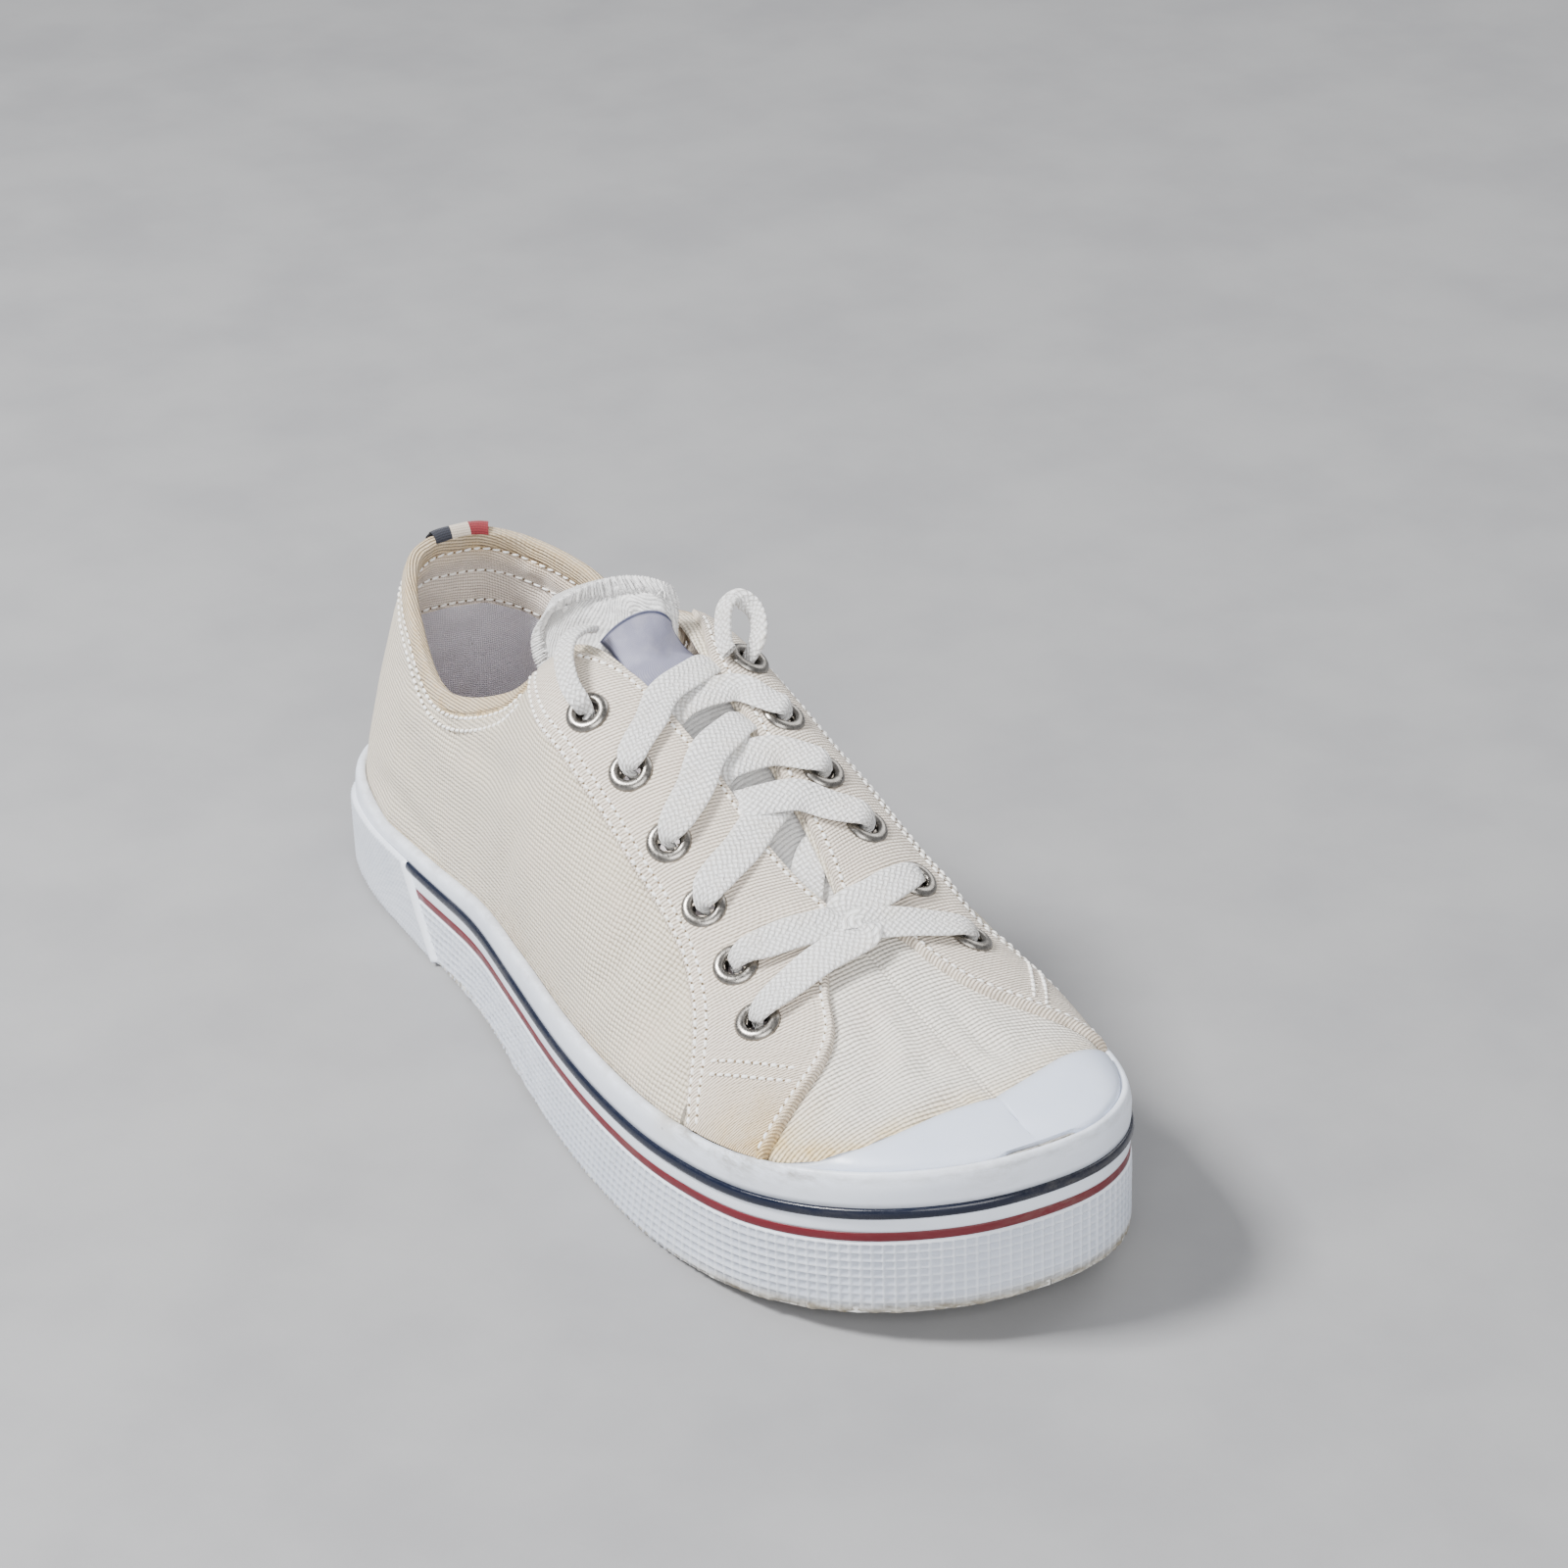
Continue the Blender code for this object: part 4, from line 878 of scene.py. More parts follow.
# Darker at the foot of the canvas by the band, and a thin line of painted shade along the binding's lower
# edge.
grime_and_shade = np.clip(0.55 * bell(rows_w, 0.03) + 0.7 * bell(rows_s - 4.9, 0.5) * bound[None], 0.0, 1.0)
faces = quads(all_rows, len(columns))
mid = skin.reshape(-1, 3)[faces].mean(1)
f_row = faces[:, 0] // len(columns)
f_col = faces[:, 0] % len(columns)
f_u, f_w = columns[f_col], rows_w[f_row, f_col]
f_s = rows_s[f_row, f_col]
f_in = f_row >= outer_rows - n_arch // 2
which = np.zeros(len(faces), int)
front = ((f_u > 9.3) & (f_u < 16.75)) | ((f_w > 0.7) & (f_u > 9.0) & (f_u < 17.0))
which[front] = VAMP_SLOT
which[(f_s < 4.8) & (bound[f_col] > 0.4)] = BINDING_SLOT
which[f_in & (f_s < PAD_END) & (which != BINDING_SLOT)] = COLLAR_SLOT
which[f_in & (f_s >= PAD_END)] = LINING_SLOT
keep = away_from_eyes(mid, 3.4)
upper = make("upper_cloth", skin.reshape(-1, 3), faces[keep],
             maps=np.stack([map_s, map_t], 2).reshape(-1, 2),
             marks={"stain": stain, "grime_and_shade": grime_and_shade.ravel()},
             looks=[QUARTER, VAMP, BINDING, COLLAR_BAND, LINING], which=which[keep])
weld_close(upper, 0.01)
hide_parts("upper")


# stitches
def stitch_rows(name, rows, look, length=0.76, radius=0.46):
    """Joined small capsules. Each row holds points, normals and its pitch in millimetres."""
    rng = np.random.default_rng(7)
    ring = np.arange(6) * math.pi / 3.0
    body = []
    for x, r in ((-0.5, 0.25), (-0.36, 0.85), (0.0, 1.0), (0.36, 0.85), (0.5, 0.25)):
        body.append(np.column_stack([np.full(6, x), np.cos(ring) * r, np.sin(ring) * r]))
    body = np.vstack(body)
    one = []
    for r in range(4):
        for c in range(6):
            one.append((r * 6 + c, r * 6 + (c + 1) % 6, (r + 1) * 6 + (c + 1) % 6, (r + 1) * 6 + c))
    one = np.array(one)
    points, faces, count = [], [], 0
    for p, n, pitch in rows:
        run = run_along(p)
        for m in np.arange(0.5 * pitch, run[-1] - 0.3 * pitch, pitch):
            a, b = sample(m - 0.3, run, p), sample(m + 0.3, run, p)
            up = sample(m, run, n)
            ahead = (b - a) / max(np.linalg.norm(b - a), 1e-6)
            side = np.cross(up, ahead)
            side /= np.linalg.norm(side)
            turn = rng.normal(0.16, 0.07)
            ahead = ahead * math.cos(turn) + side * math.sin(turn)
            side = np.cross(up, ahead)
            scale = length * pitch * rng.uniform(0.9, 1.06)
            thick = radius * rng.uniform(0.9, 1.12)
            here = 0.5 * (a + b) + up * (0.10 + rng.uniform(-0.03, 0.04))
            arch = -0.5 * (body[:, 0] * 2.0)**2 * thick
            points.append(here + np.outer(body[:, 0] * scale, ahead) + np.outer(body[:, 1] * thick, side)
                          + np.outer(body[:, 2] * thick + arch, up))
            faces.append(one + count)
            count += len(body)
    points, faces = np.vstack(points), np.vstack(faces)
    make(name, points, faces, maps=points[:, :2], looks=[look])
    # Dark discs at each stitch end: painted shadow of the needle holes.
    spots_p, spots_f = [], []
    for p, n, pitch in rows:
        run = run_along(p)
        for m in np.arange(pitch, run[-1] - 0.6 * pitch, pitch):
            here, up = sample(m, run, p), sample(m, run, n)
            ahead = sample(m + 0.3, run, p) - here
            ahead /= max(np.linalg.norm(ahead), 1e-6)
            side = np.cross(up, ahead)
            first = len(spots_p) * 8
            disc = [here + up * 0.06 + ahead * 0.30 * math.cos(v) + side * 0.34 * math.sin(v)
                    for v in np.arange(8) * math.pi / 4.0]
            spots_p.append(disc)
            for corners in ((0, 1, 2, 3), (0, 3, 4, 7), (4, 5, 6, 7)):
                spots_f.append(tuple(first + corner for corner in corners))
    spots_p = np.array(spots_p).reshape(-1, 3)
    make(name + "_holes", spots_p, spots_f, maps=spots_p[:, :2], looks=[NEEDLE_SHADOW])


# eyestays
PANEL_INNER = [(5.80, 0.90), (6.15, 0.925), (6.55, 0.985), (7.1, 0.985), (7.7, 0.985), (8.3, 0.985),
               (8.78, 0.985)]
FRONT_LATERAL = [(9.18, 0.83), (9.47, 0.73), (9.75, 0.66), (9.92, 0.56), (10.02, 0.39), (10.09, 0.2),
                 (10.10, 0.03)]
FRONT_MEDIAL = [(9.20, 0.84), (9.50, 0.79), (9.75, 0.72), (9.90, 0.60), (9.99, 0.44), (10.04, 0.2),
                (10.05, 0.03)]
STAY_TOP = STAY_GAP + PANEL_T
along = np.concatenate([[0.0, 0.008, 0.022, 0.045, 0.075], np.linspace(0.11, 12.93, 190),
                        [12.96, 12.985, 13.0]])
shares = np.concatenate([[0.0, 0.003, 0.008, 0.016, 0.028, 0.045], np.linspace(0.07, 0.93, 30),
                         [0.955, 0.972, 0.984, 0.992, 0.997, 1.0]])
BARTACKS = [[(9.03, 0.34), (9.43, 0.42), (9.76, 0.49)], [(9.10, 0.30), (9.51, 0.38), (9.83, 0.45)]]
stitch_sets = []
for side, tag in ((-1, "lateral"), (1, "medial")):
    inner_line = PANEL_INNER + (FRONT_LATERAL if side < 0 else FRONT_MEDIAL)
    a = curve_at(inner_line, along, False)
    b = curve_at(PANEL_OUTER, along, False)
    q = a[:, None] + (b - a)[:, None] * shares[None, :, None]
    if side > 0:
        q[..., 0] = STATIONS - q[..., 0]
    p = rib_grid(q[..., 0], q[..., 1])
    n = normal_grid(q[..., 0], q[..., 1])
    width = np.linalg.norm(np.diff(p, axis=1), axis=2)
    from_inner = np.concatenate([np.zeros((len(along), 1)), np.cumsum(width, axis=1)], 1)
    total = from_inner[:, -1:]
    from_outer = total - from_inner
    length = np.linalg.norm(np.diff(p, axis=0), axis=2)
    from_top = np.vstack([np.zeros((1, len(shares))), np.cumsum(length, axis=0)])
    border = np.minimum(np.minimum(from_inner, from_outer), from_top)
    round_off = rounded(border, 0.9)
    dips = bell(from_outer - 1.3, 0.7) + bell(from_outer - 4.1, 0.7) + bell(from_inner - 3.0, 0.8)
    slack = creased(p.reshape(-1, 3), 0.18).reshape(round_off.shape)
    hem = 0.6 * bell(from_inner - 1.2, 1.0) * smooth01((along[:, None] - 6.5) / 1.0)
    lift = 0.05 + (STAY_TOP - 0.05) * round_off - 0.34 * dips * round_off + (slack + hem) * round_off
    grid = p + n * lift[..., None]
    faces = quads(len(along), len(shares), side < 0)
    mid = grid.reshape(-1, 3)[faces].mean(1)
    keep = away_from_eyes(mid, 3.1)
    stain = stain_on(p.reshape(-1, 3), q[..., 1].ravel())
    # Painted shade along both edges of the eyestay: a thin dark line where the cloth rounds down to the
    # canvas.
    grime_and_shade = np.clip(0.6 * bell(np.ravel(from_inner), 0.6) + 1.2 * bell(np.ravel(from_outer), 0.6), 0.0, 1.0)
    stay = make("eyestay_cloth_" + tag, grid.reshape(-1, 3), faces[keep],
                maps=np.stack([from_inner + 0.0 * total, from_top], 2).reshape(-1, 2),
                marks={"stain": stain, "grime_and_shade": grime_and_shade}, looks=[STAY])
    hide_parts("eyestay_" + tag)
    seam_rows = ((1.3, 1, 0.12, 12.9), (4.1, 1, 0.3, 12.9), (3.0, 0, 0.9, 6.6), (2.2, 0, 7.2, 12.9))
    for distance, which_side, first, last in seam_rows:
        use = np.where((along > first) & (along < last))[0]
        row_p, row_n = [], []
        for i in use:
            d = (total[i, 0] - distance) if which_side else distance
            share = np.interp(d, from_inner[i], shares)
            row_p.append(sample(share, shares, grid[i]))
            row_n.append(sample(share, shares, n[i]))
        stitch_sets.append((np.array(row_p), np.array(row_n), 2.45))
    for bar in BARTACKS:
        q_bar = curve_at(bar, np.linspace(0.0, 2.0, 50), False)
        u_bar = q_bar[:, 0] if side < 0 else STATIONS - q_bar[:, 0]
        n_bar = rib_normal(u_bar, q_bar[:, 1])
        stitch_sets.append((rib(u_bar, q_bar[:, 1]) + n_bar * (STAY_TOP + 0.12), n_bar, 2.2))

collar_u = np.linspace(-5.35, 5.35, 260)
for s in (6.0, 9.4):
    w = w_at(np.mod(collar_u, STATIONS), np.array([s]))[:, 0]
    nn = rib_normal(np.mod(collar_u, STATIONS), w)
    stitch_sets.append((rib(np.mod(collar_u, STATIONS), w) + nn * 0.02, nn, 2.6))
stitch_rows("stitches_outside", stitch_sets, THREAD)
lining_sets = []
for s, pad in ((13.2, 0.8), (22.6, 1.25), (5.6, 1.2)):
    w = w_at(np.mod(collar_u, STATIONS), np.array([s]))[:, 0]
    nn = rib_normal(np.mod(collar_u, STATIONS), w)
    lining_sets.append((rib(np.mod(collar_u, STATIONS), w) - nn * (CANVAS_T + pad), -nn, 2.7))
stitch_rows("stitches_inside", lining_sets, THREAD, radius=0.32)

# side band
band_u = np.linspace(0.0, STATIONS, 781)
band_x = plan(band_u)[:, 0]
ground = under(band_x)
navy_z = ground + stripe_height(band_x)
red_z = navy_z - STRIPE_APART
rim_z = fox_top(band_x)
toe_share = smooth01((band_x - 232.0) / 40.0)
swell = 0.35 * toe_share
band = []
for inset, height in (
    (1.6, red_z - 1.9), (0.1, red_z - 1.5), (0.02, red_z - 1.32), (0.25, red_z - 1.18), (0.3, red_z),
    (0.25, red_z + 1.18), (0.02, red_z + 1.32), (-0.06, red_z + 1.9), (-0.08, 0.5 * (red_z + navy_z)),
    (-0.06, navy_z - 1.9), (0.02, navy_z - 1.4), (0.4, navy_z - 1.2), (0.4, navy_z + 1.2),
    (0.02, navy_z + 1.4),
):
    band.append(np.column_stack([plan(band_u, inset), height]))
for share, inset in ((0.2, 0.0), (0.4, 0.0), (0.6, 0.08), (0.78, 0.26), (0.9, 0.55), (0.97, 0.95),
                     (1.0, 1.5), (1.0, 2.0), (0.985, 2.4), (0.965, 2.8), (0.92, 3.1), (0.85, 3.26),
                     (0.6, 3.3)):
    if 0.95 < share and inset < 2.2:
        lift = 1.1
    elif share == 0.9 or inset == 2.4:
        lift = 0.5
    else:
        lift = 0.0
    height = navy_z + 1.4 + (rim_z - navy_z - 1.4) * share + toe_share * lift
    swollen = swell * (1.0 if share > 0.5 else 0.5) * (inset < 2.2)
    band.append(np.column_stack([plan(band_u, inset - swollen), height]))
band = np.array(band)
unevenness = ripple(band.reshape(-1, 3), 3, 38.0).reshape(band.shape[:2])
band += 0.12 * unevenness[..., None] * UPWARD
band_p = band.reshape(-1, 3)
rubs = np.zeros(len(band_p))
for centre, size, much in (
    ((252.0, -49.0, 39.5), 9.0, 0.75), ((236.0, -53.0, 38.0), 6.0, 0.5), ((268.0, -42.0, 42.0), 7.0, 0.55),
    ((292.0, -5.0, 44.0), 8.0, 0.4), ((292.0, 14.0, 44.0), 6.0, 0.35), ((150.0, -47.0, 33.0), 5.0, 0.2),
):
    rubs += much * bell(np.linalg.norm((band_p - np.array(centre)) * np.array([1.0, 1.0, 1.6]), axis=1), size)
top_dirt = 0.35 * bell(band_p[:, 2].reshape(band.shape[:2]) - rim_z[None], 1.2).ravel()
stripes_dirt = 0.25 * bell(band_p[:, 2].reshape(band.shape[:2]) - navy_z[None] - 1.5, 0.5).ravel()
band_stain = 0.5 * bell(np.linalg.norm(band_p - rib([8.9], [0.0])[0], axis=1), 5.0)
foxing = make("side_band", band_p, quads(len(band), len(band_u)), maps=grid_map(band),
              marks={"stain": band_stain, "grime_and_shade": np.clip(rubs + top_dirt + stripes_dirt, 0.0, 1.0)},
              looks=[WHITE_RUBBER])
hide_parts("foxing")


def patch_front(height):
    return PATCH_REACH - 0.775 * height


def stripe(name, level, section, look, node):
    ok = plan(band_u)[:, 0] - patch_front(level - ground) > -0.5
    first = int(np.argmax(ok))
    last = len(ok) - 1 - int(np.argmax(ok[::-1]))
    u = band_u[first:last + 1]
    z = level[first:last + 1]
    grid = np.array([np.column_stack([plan(u, inset), z + rise_z]) for inset, rise_z in section])
    grime_and_shade = np.clip(0.5 * ripple(grid.reshape(-1, 3), 9, 24.0), 0.0, 1.0) * 0.4
    ob = make(name, grid.reshape(-1, 3), quads(len(section), len(u)), maps=grid_map(grid),
              marks={"stain": np.zeros(grid.shape[0] * grid.shape[1]), "grime_and_shade": grime_and_shade}, looks=[look])
    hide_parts(node)
    return ob


bead = [(0.4, -1.34), (-0.1, -1.35)]
for angle in np.linspace(-75.0, 75.0, 11):
    bead.append((-0.22 - 0.68 * math.cos(math.radians(angle)), 1.34 * math.sin(math.radians(angle))))
bead += [(-0.1, 1.35), (0.4, 1.34)]
stripe("navy_bead", navy_z, bead, NAVY, "blue_line")
stripe("red_stripe", red_z, [(0.4, -1.16), (0.05, -1.15), (-0.03, -1.0), (-0.07, -0.5), (-0.08, 0.0),
                             (-0.07, 0.5), (-0.03, 1.0), (0.05, 1.15), (0.4, 1.16)],
       RED, "red_line")

# Waffle side of the sole: a raised grid over the outsole's lip and the low side band.
side_u = np.linspace(3.0, 23.0, 1321)
side_xy = plan(side_u)
side_run = run_along(side_xy)
side_low = under(side_xy[:, 0]) + 0.15
side_high = under(side_xy[:, 0]) + stripe_height(side_xy[:, 0]) - STRIPE_APART - 1.45
levels = np.linspace(0.0, 1.0, 46)
waffle = []
waffle_recess_shade = []
CELL_A, CELL_B = 2.65, 2.25
lean = 0.30 * (1.0 - smooth01((side_xy[:, 0] - 210.0) / 45.0)) * np.where(side_u < TOE, 1.0, -1.0)
for level in levels:
    z = side_low + (side_high - side_low) * level
    down = (side_high - side_low) * (1.0 - level)
    a = (side_run + lean * down) / CELL_A
    b = (down - 0.35) / CELL_B
    line_a = smooth01(1.0 - np.abs(a - np.round(a)) * CELL_A / 0.42)
    line_b = smooth01(1.0 - np.abs(b - np.round(b)) * CELL_B / 0.40)
    lean_cell = 0.16 * ((a - np.floor(a)) - 0.5) + 0.16 * ((b - np.floor(b)) - 0.5)
    relief = 0.5 * np.maximum(line_a, line_b) + 1.3 * lean_cell * (1.0 - np.maximum(line_a, line_b))
    edge_fade = smooth01(level / 0.04) * smooth01((1.0 - level) / 0.02)
    worn = smooth01((side_xy[:, 0] - 225.0) / 45.0) * bell(z - side_low, 2.4)
    rough_edge = ripple(np.column_stack([side_xy, z]), 17, 3.2) * 0.35 * worn
    inset = 0.05 - relief * edge_fade * (1.0 - 0.8 * worn) - rough_edge + 0.9 * bell(z - side_low, 0.45)
    waffle.append(np.column_stack([plan(side_u, inset), z]))
    # Painted shade for the recessed cells between the raised grid lines.
    waffle_recess_shade.append((1.0 - np.maximum(line_a, line_b)) * edge_fade)
waffle = np.array(waffle)
waffle_p = waffle.reshape(-1, 3)
low_line = np.broadcast_to(side_low, waffle.shape[:2]).ravel()
toe_wear = smooth01((waffle_p[:, 0] - 215.0) / 50.0) * bell(waffle_p[:, 2] - low_line, 2.6)
base_dirt = 0.35 * bell(waffle_p[:, 2] - low_line, 2.0)
brown = np.zeros(len(waffle_p))
for centre, size, much in (
    ((279.0, -29.0, 18.0), 1.9, 0.8), ((281.0, -25.5, 18.5), 1.7, 0.6), ((280.0, -28.0, 15.0), 1.6, 0.35),
):
    brown += much * np.exp(-(np.linalg.norm(waffle_p - np.array(centre), axis=1) / size)**4)
waffle_ob = make("waffle_side", waffle_p, quads(len(levels), len(side_u)), maps=grid_map(waffle),
                 marks={"stain": np.clip(0.9 * toe_wear + brown, 0.0, 1.0),
                        "grime_and_shade": np.clip(1.3 * toe_wear + base_dirt + 0.4 * brown, 0.0, 1.0),
                        "recess_shade": np.array(waffle_recess_shade)},
                 looks=[WAFFLE_RUBBER])

# heel patch
patch_v = np.linspace(-1.0, 1.0, 381)
patch_s = np.linspace(0.0, 1.0, 66)
patch = []
patch_recess_shade = []
for share in patch_s:
    low = 0.9
    ends = []
    for sign in (1.0, -1.0):
        u_end = 4.0
        for _ in range(6):
            x = plan(sign * u_end)[0, 0]
            height = low + (stripe_height(x) + 1.4 - low) * share
            u_end = u_end + (patch_front(height) - x) / 32.0
        ends.append(u_end)
    u = np.where(patch_v >= 0.0, patch_v * ends[0], patch_v * ends[1])
    centre = plan(u)
    run = run_along(centre)
    top = stripe_height(centre[:, 0]) + 1.4 + 2.0 * (1.0 - np.abs(patch_v))
    z = under(centre[:, 0]) + low + (top - low) * share
    from_end = np.minimum(run, run[-1] - run)
    from_top = (top - low) * (1.0 - share)
    from_low = (top - low) * share
    run_c = run - 0.5 * run[-1]
    border = smooth01(1.0 - np.abs(from_end - 0.75) / 0.75)
    a = (run_c + 0.9 * z) / 1.5
    b = (run_c - 0.9 * z) / 1.5
    cell = np.abs(np.cos(math.pi * a)) * np.abs(np.cos(math.pi * b))
    inside = smooth01((from_end - 1.7) / 0.5) * smooth01(from_top / 0.8) * smooth01(from_low / 0.6)
    edge_round = np.minimum(np.minimum(from_end / 0.5, from_top / 0.9), from_low / 0.8)
    edge_round = rounded(edge_round, 1.0)
    proud = 0.02 + (1.40 + 0.5 * border + 0.42 * (cell - 0.5) * inside) * edge_round
    patch.append(np.column_stack([plan(u, -proud), z]))
    # Painted shade for the grooves between the diamonds.
    patch_recess_shade.append((1.0 - cell) * inside)
patch = np.array(patch)
patch_p = patch.reshape(-1, 3)
patch_ob = make("heel_patch_ribbed", patch_p, quads(len(patch_s), len(patch_v), False), maps=grid_map(patch),
                marks={"stain": np.zeros(len(patch_p)), "grime_and_shade": np.clip(0.6 * bell(patch_p[:, 2], 2.5),
                                                                         0.0, 1.0),
                       "recess_shade": 0.8 * np.array(patch_recess_shade)},
                looks=[WAFFLE_RUBBER])
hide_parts("heel_patch")

# toe cap
cap_u = np.concatenate([np.linspace(10.22, 11.62, 50), np.linspace(11.66, 14.38, 90),
                        np.linspace(14.42, 15.8, 50)])
cap_top = np.interp(cap_u, CAP_EDGE_U, CAP_EDGE_W)
cap_share = np.concatenate([np.linspace(0.0, 0.9, 40), [0.92, 0.94, 0.955, 0.968, 0.978, 0.986, 0.992,
                                                        0.997, 1.0]])
cap_share = np.concatenate([[0.0], cap_share])
cap_w = 0.015 + (cap_top[None] - 0.015) * cap_share[:, None]
cap_uu = np.broadcast_to(cap_u, cap_w.shape)
cap = rib_grid(cap_uu, cap_w)
cap_n = normal_grid(cap_uu, cap_w)
d_edge, where = near_line(cap.reshape(-1, 3), CAP_LINE)
d_edge = d_edge.reshape(cap_w.shape)
closed = (cap_u > 11.62) & (cap_u < 14.42)
round_off = rounded(d_edge, 0.9)
low_rise = smooth01(cap_share[:, None] * 6.0)
cap_lift = 0.03 + (PANEL_GAP + 0.75) * round_off - 0.25 * (1.0 - low_rise)
cap_grid = cap + cap_n * cap_lift[..., None]
cap_grid[0] += np.array([0.0, 0.0, -2.2])
crest = np.where(closed[None] & (cap_w > 0.985), 1.0, 0.0)
lifted = cap + UPWARD * cap_lift[..., None]
cap_grid = cap_grid * (1.0 - crest[..., None]) + crest[..., None] * lifted
foot_dirt = 0.35 * bell(cap_share[:, None], 0.05) + 0.3 * bell(d_edge, 0.7)
cap_ob = make("toe_cap_rubber", cap_grid.reshape(-1, 3), quads(len(cap_share), len(cap_u)),
              maps=grid_map(cap_grid),
              marks={"stain": 0.35 * bell(d_edge, 1.5).ravel(),
                     "grime_and_shade": np.clip(foot_dirt, 0.0, 1.0).ravel()},
              looks=[CAP_RUBBER])
weld_close(cap_ob, 0.02)
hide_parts("toe_cap")


# lacing bed
def lacing_bed(a, c, depth):
    """a counts the eyelet rows from the top, c runs from the lateral to the medial row."""
    a = np.atleast_1d(np.asarray(a, float))
    c = np.broadcast_to(np.asarray(c, float), a.shape)
    depth = np.broadcast_to(np.asarray(depth, float), a.shape)
    beyond = np.maximum(a - 5.0, 0.0)[:, None] * 10.0
    top, under_top = np.full(len(a), 5.0), np.full(len(a), 4.9)
    lateral, medial = [curve_at(row, np.minimum(a, top), False)
                       + beyond * (curve_at(row, top, False) - curve_at(row, under_top, False))
                       for row in (EYELETS_LATERAL, EYELETS_MEDIAL)]
    full = np.full(len(a), 0.985)
    spots = []
    for u, w in ((lateral[:, 0], lateral[:, 1]), (lateral[:, 0], 0.5 * (lateral[:, 1] + 1.0)),
                 (lateral[:, 0], full), (medial[:, 0], full), (medial[:, 0], 0.5 * (medial[:, 1] + 1.0)),
                 (medial[:, 0], medial[:, 1])):
        spots.append(rib(u, w) + rib_normal(u, w) * depth[:, None])
    spots = np.array(spots)
    v = np.clip(c * 5.0, 0.0, 5.0)
    i = np.minimum(np.floor(v).astype(int), 4)
    t = (v - i)[:, None]
    k = np.arange(len(a))
    p0, p1 = spots[np.maximum(i - 1, 0), k], spots[i, k]
    p2, p3 = spots[i + 1, k], spots[np.minimum(i + 2, 5), k]
    return between(p0, p1, p2, p3, t)


def bed_normal(a, c):
    a = np.clip(a, 0.1, 4.9)
    c = np.clip(c, 0.03, 0.97)
    along_bed = lacing_bed(a + 0.05, c, 0.0) - lacing_bed(a - 0.05, c, 0.0)
    across_bed = lacing_bed(a, c + 0.02, 0.0) - lacing_bed(a, c - 0.02, 0.0)
    n = np.cross(along_bed, across_bed)
    n *= np.where(n[:, 2:3] > 0.0, 1.0, -1.0)
    return n / np.linalg.norm(n, axis=1)[:, None]


# tongue and label
TONGUE_TOP = [
    ((129.0, -16.5, 92.5), (132.2, 1.0, 101.7), (134.0, 14.6, 96.4)),
    ((113.0, -13.5, 89.5), (128.2, 0.4, 107.0), (130.0, 9.0, 103.0)),
    ((99.0, -14.0, 88.5), (124.5, -0.3, 111.0), (128.5, 9.5, 108.0)),
    ((96.0, -14.0, 97.0), (121.3, -1.1, 115.0), (127.5, 10.5, 112.0)),
    ((104.5, -12.5, 108.5), (118.9, -1.9, 118.9), (126.0, 10.0, 116.0)),
]
across = np.linspace(-1.0, 1.0, 9)
tongue_rows = []
for k in range(12):
    share = k / 11.0
    reach = 0.36 + 0.06 * share
    tongue_rows.append(lacing_bed(np.full(9, 5.2 * (1.0 - share)), 0.5 + reach * across, -CANVAS_T - 1.5))
for left, middle, right_end in TONGUE_TOP:
    row = np.outer(1.0 - across**2, middle)
    row += np.outer(0.5 * (across**2 - across), left)
    row += np.outer(0.5 * (across**2 + across), right_end)
    tongue_rows.append(row)
tongue_rows = np.array(tongue_rows)


def tongue_at(row, col):
    """Top of the tongue; row counts 0 to 16 up it, col 0 to 8 across it, arrays of one shape."""
    by_col = np.array([curve_at(tongue_rows[:, j], row.ravel(), False) for j in range(9)])
    v = np.clip(col.ravel(), 0.0, 8.0)
    i = np.minimum(np.floor(v).astype(int), 7)
    t = (v - i)[:, None]
    k = np.arange(len(v))
    p0, p1 = by_col[np.maximum(i - 1, 0), k], by_col[i, k]
    p2, p3 = by_col[i + 1, k], by_col[np.minimum(i + 2, 8), k]
    return between(p0, p1, p2, p3, t).reshape(*row.shape, 3)


def grid_normals(p):
    a = np.gradient(p, axis=0)
    b = np.gradient(p, axis=1)
    n = np.cross(b, a)
    n /= np.maximum(np.linalg.norm(n, axis=2), 1e-9)[..., None]
    return n if n[..., 2].mean() > 0.0 else -n


t_row = np.concatenate([np.linspace(0.0, 15.0, 150), np.linspace(15.04, 16.0, 26)])
t_col = np.concatenate([np.linspace(0.0, 0.5, 9), np.linspace(0.6, 7.4, 70), np.linspace(7.5, 8.0, 9)])
rr, cc = np.meshgrid(t_row, t_col, indexing="ij")
tongue_p = tongue_at(rr, cc)
tongue_n = grid_normals(tongue_p)
step_c = np.linalg.norm(np.diff(tongue_p, axis=1), axis=2)
from_left = np.concatenate([np.zeros((len(t_row), 1)), np.cumsum(step_c, axis=1)], 1)
from_right = from_left[:, -1:] - from_left
step_r = np.linalg.norm(np.diff(tongue_p, axis=0), axis=2)
from_up = np.concatenate([np.cumsum(step_r[::-1], axis=0)[::-1], np.zeros((1, len(t_col)))], 0)
border = np.minimum(np.minimum(from_left, from_right), from_up)
half = 0.5 * TONGUE_T
round_off = rounded(border, 1.8)
free = smooth01((rr - 10.5) / 2.0)
tongue_flat = tongue_p.reshape(-1, 3)
fluff = (0.28 * ripple(tongue_flat, 41, 5.0) + 0.22 * ripple(tongue_flat, 42, 2.2)).reshape(rr.shape)
seam = -0.55 * bell(border - 4.6, 0.7) * free
top_skin = tongue_p + tongue_n * (-half + half * round_off + (fluff * free + seam) * round_off)[..., None]
under_skin = tongue_p + tongue_n * (-half - half * round_off)[..., None]
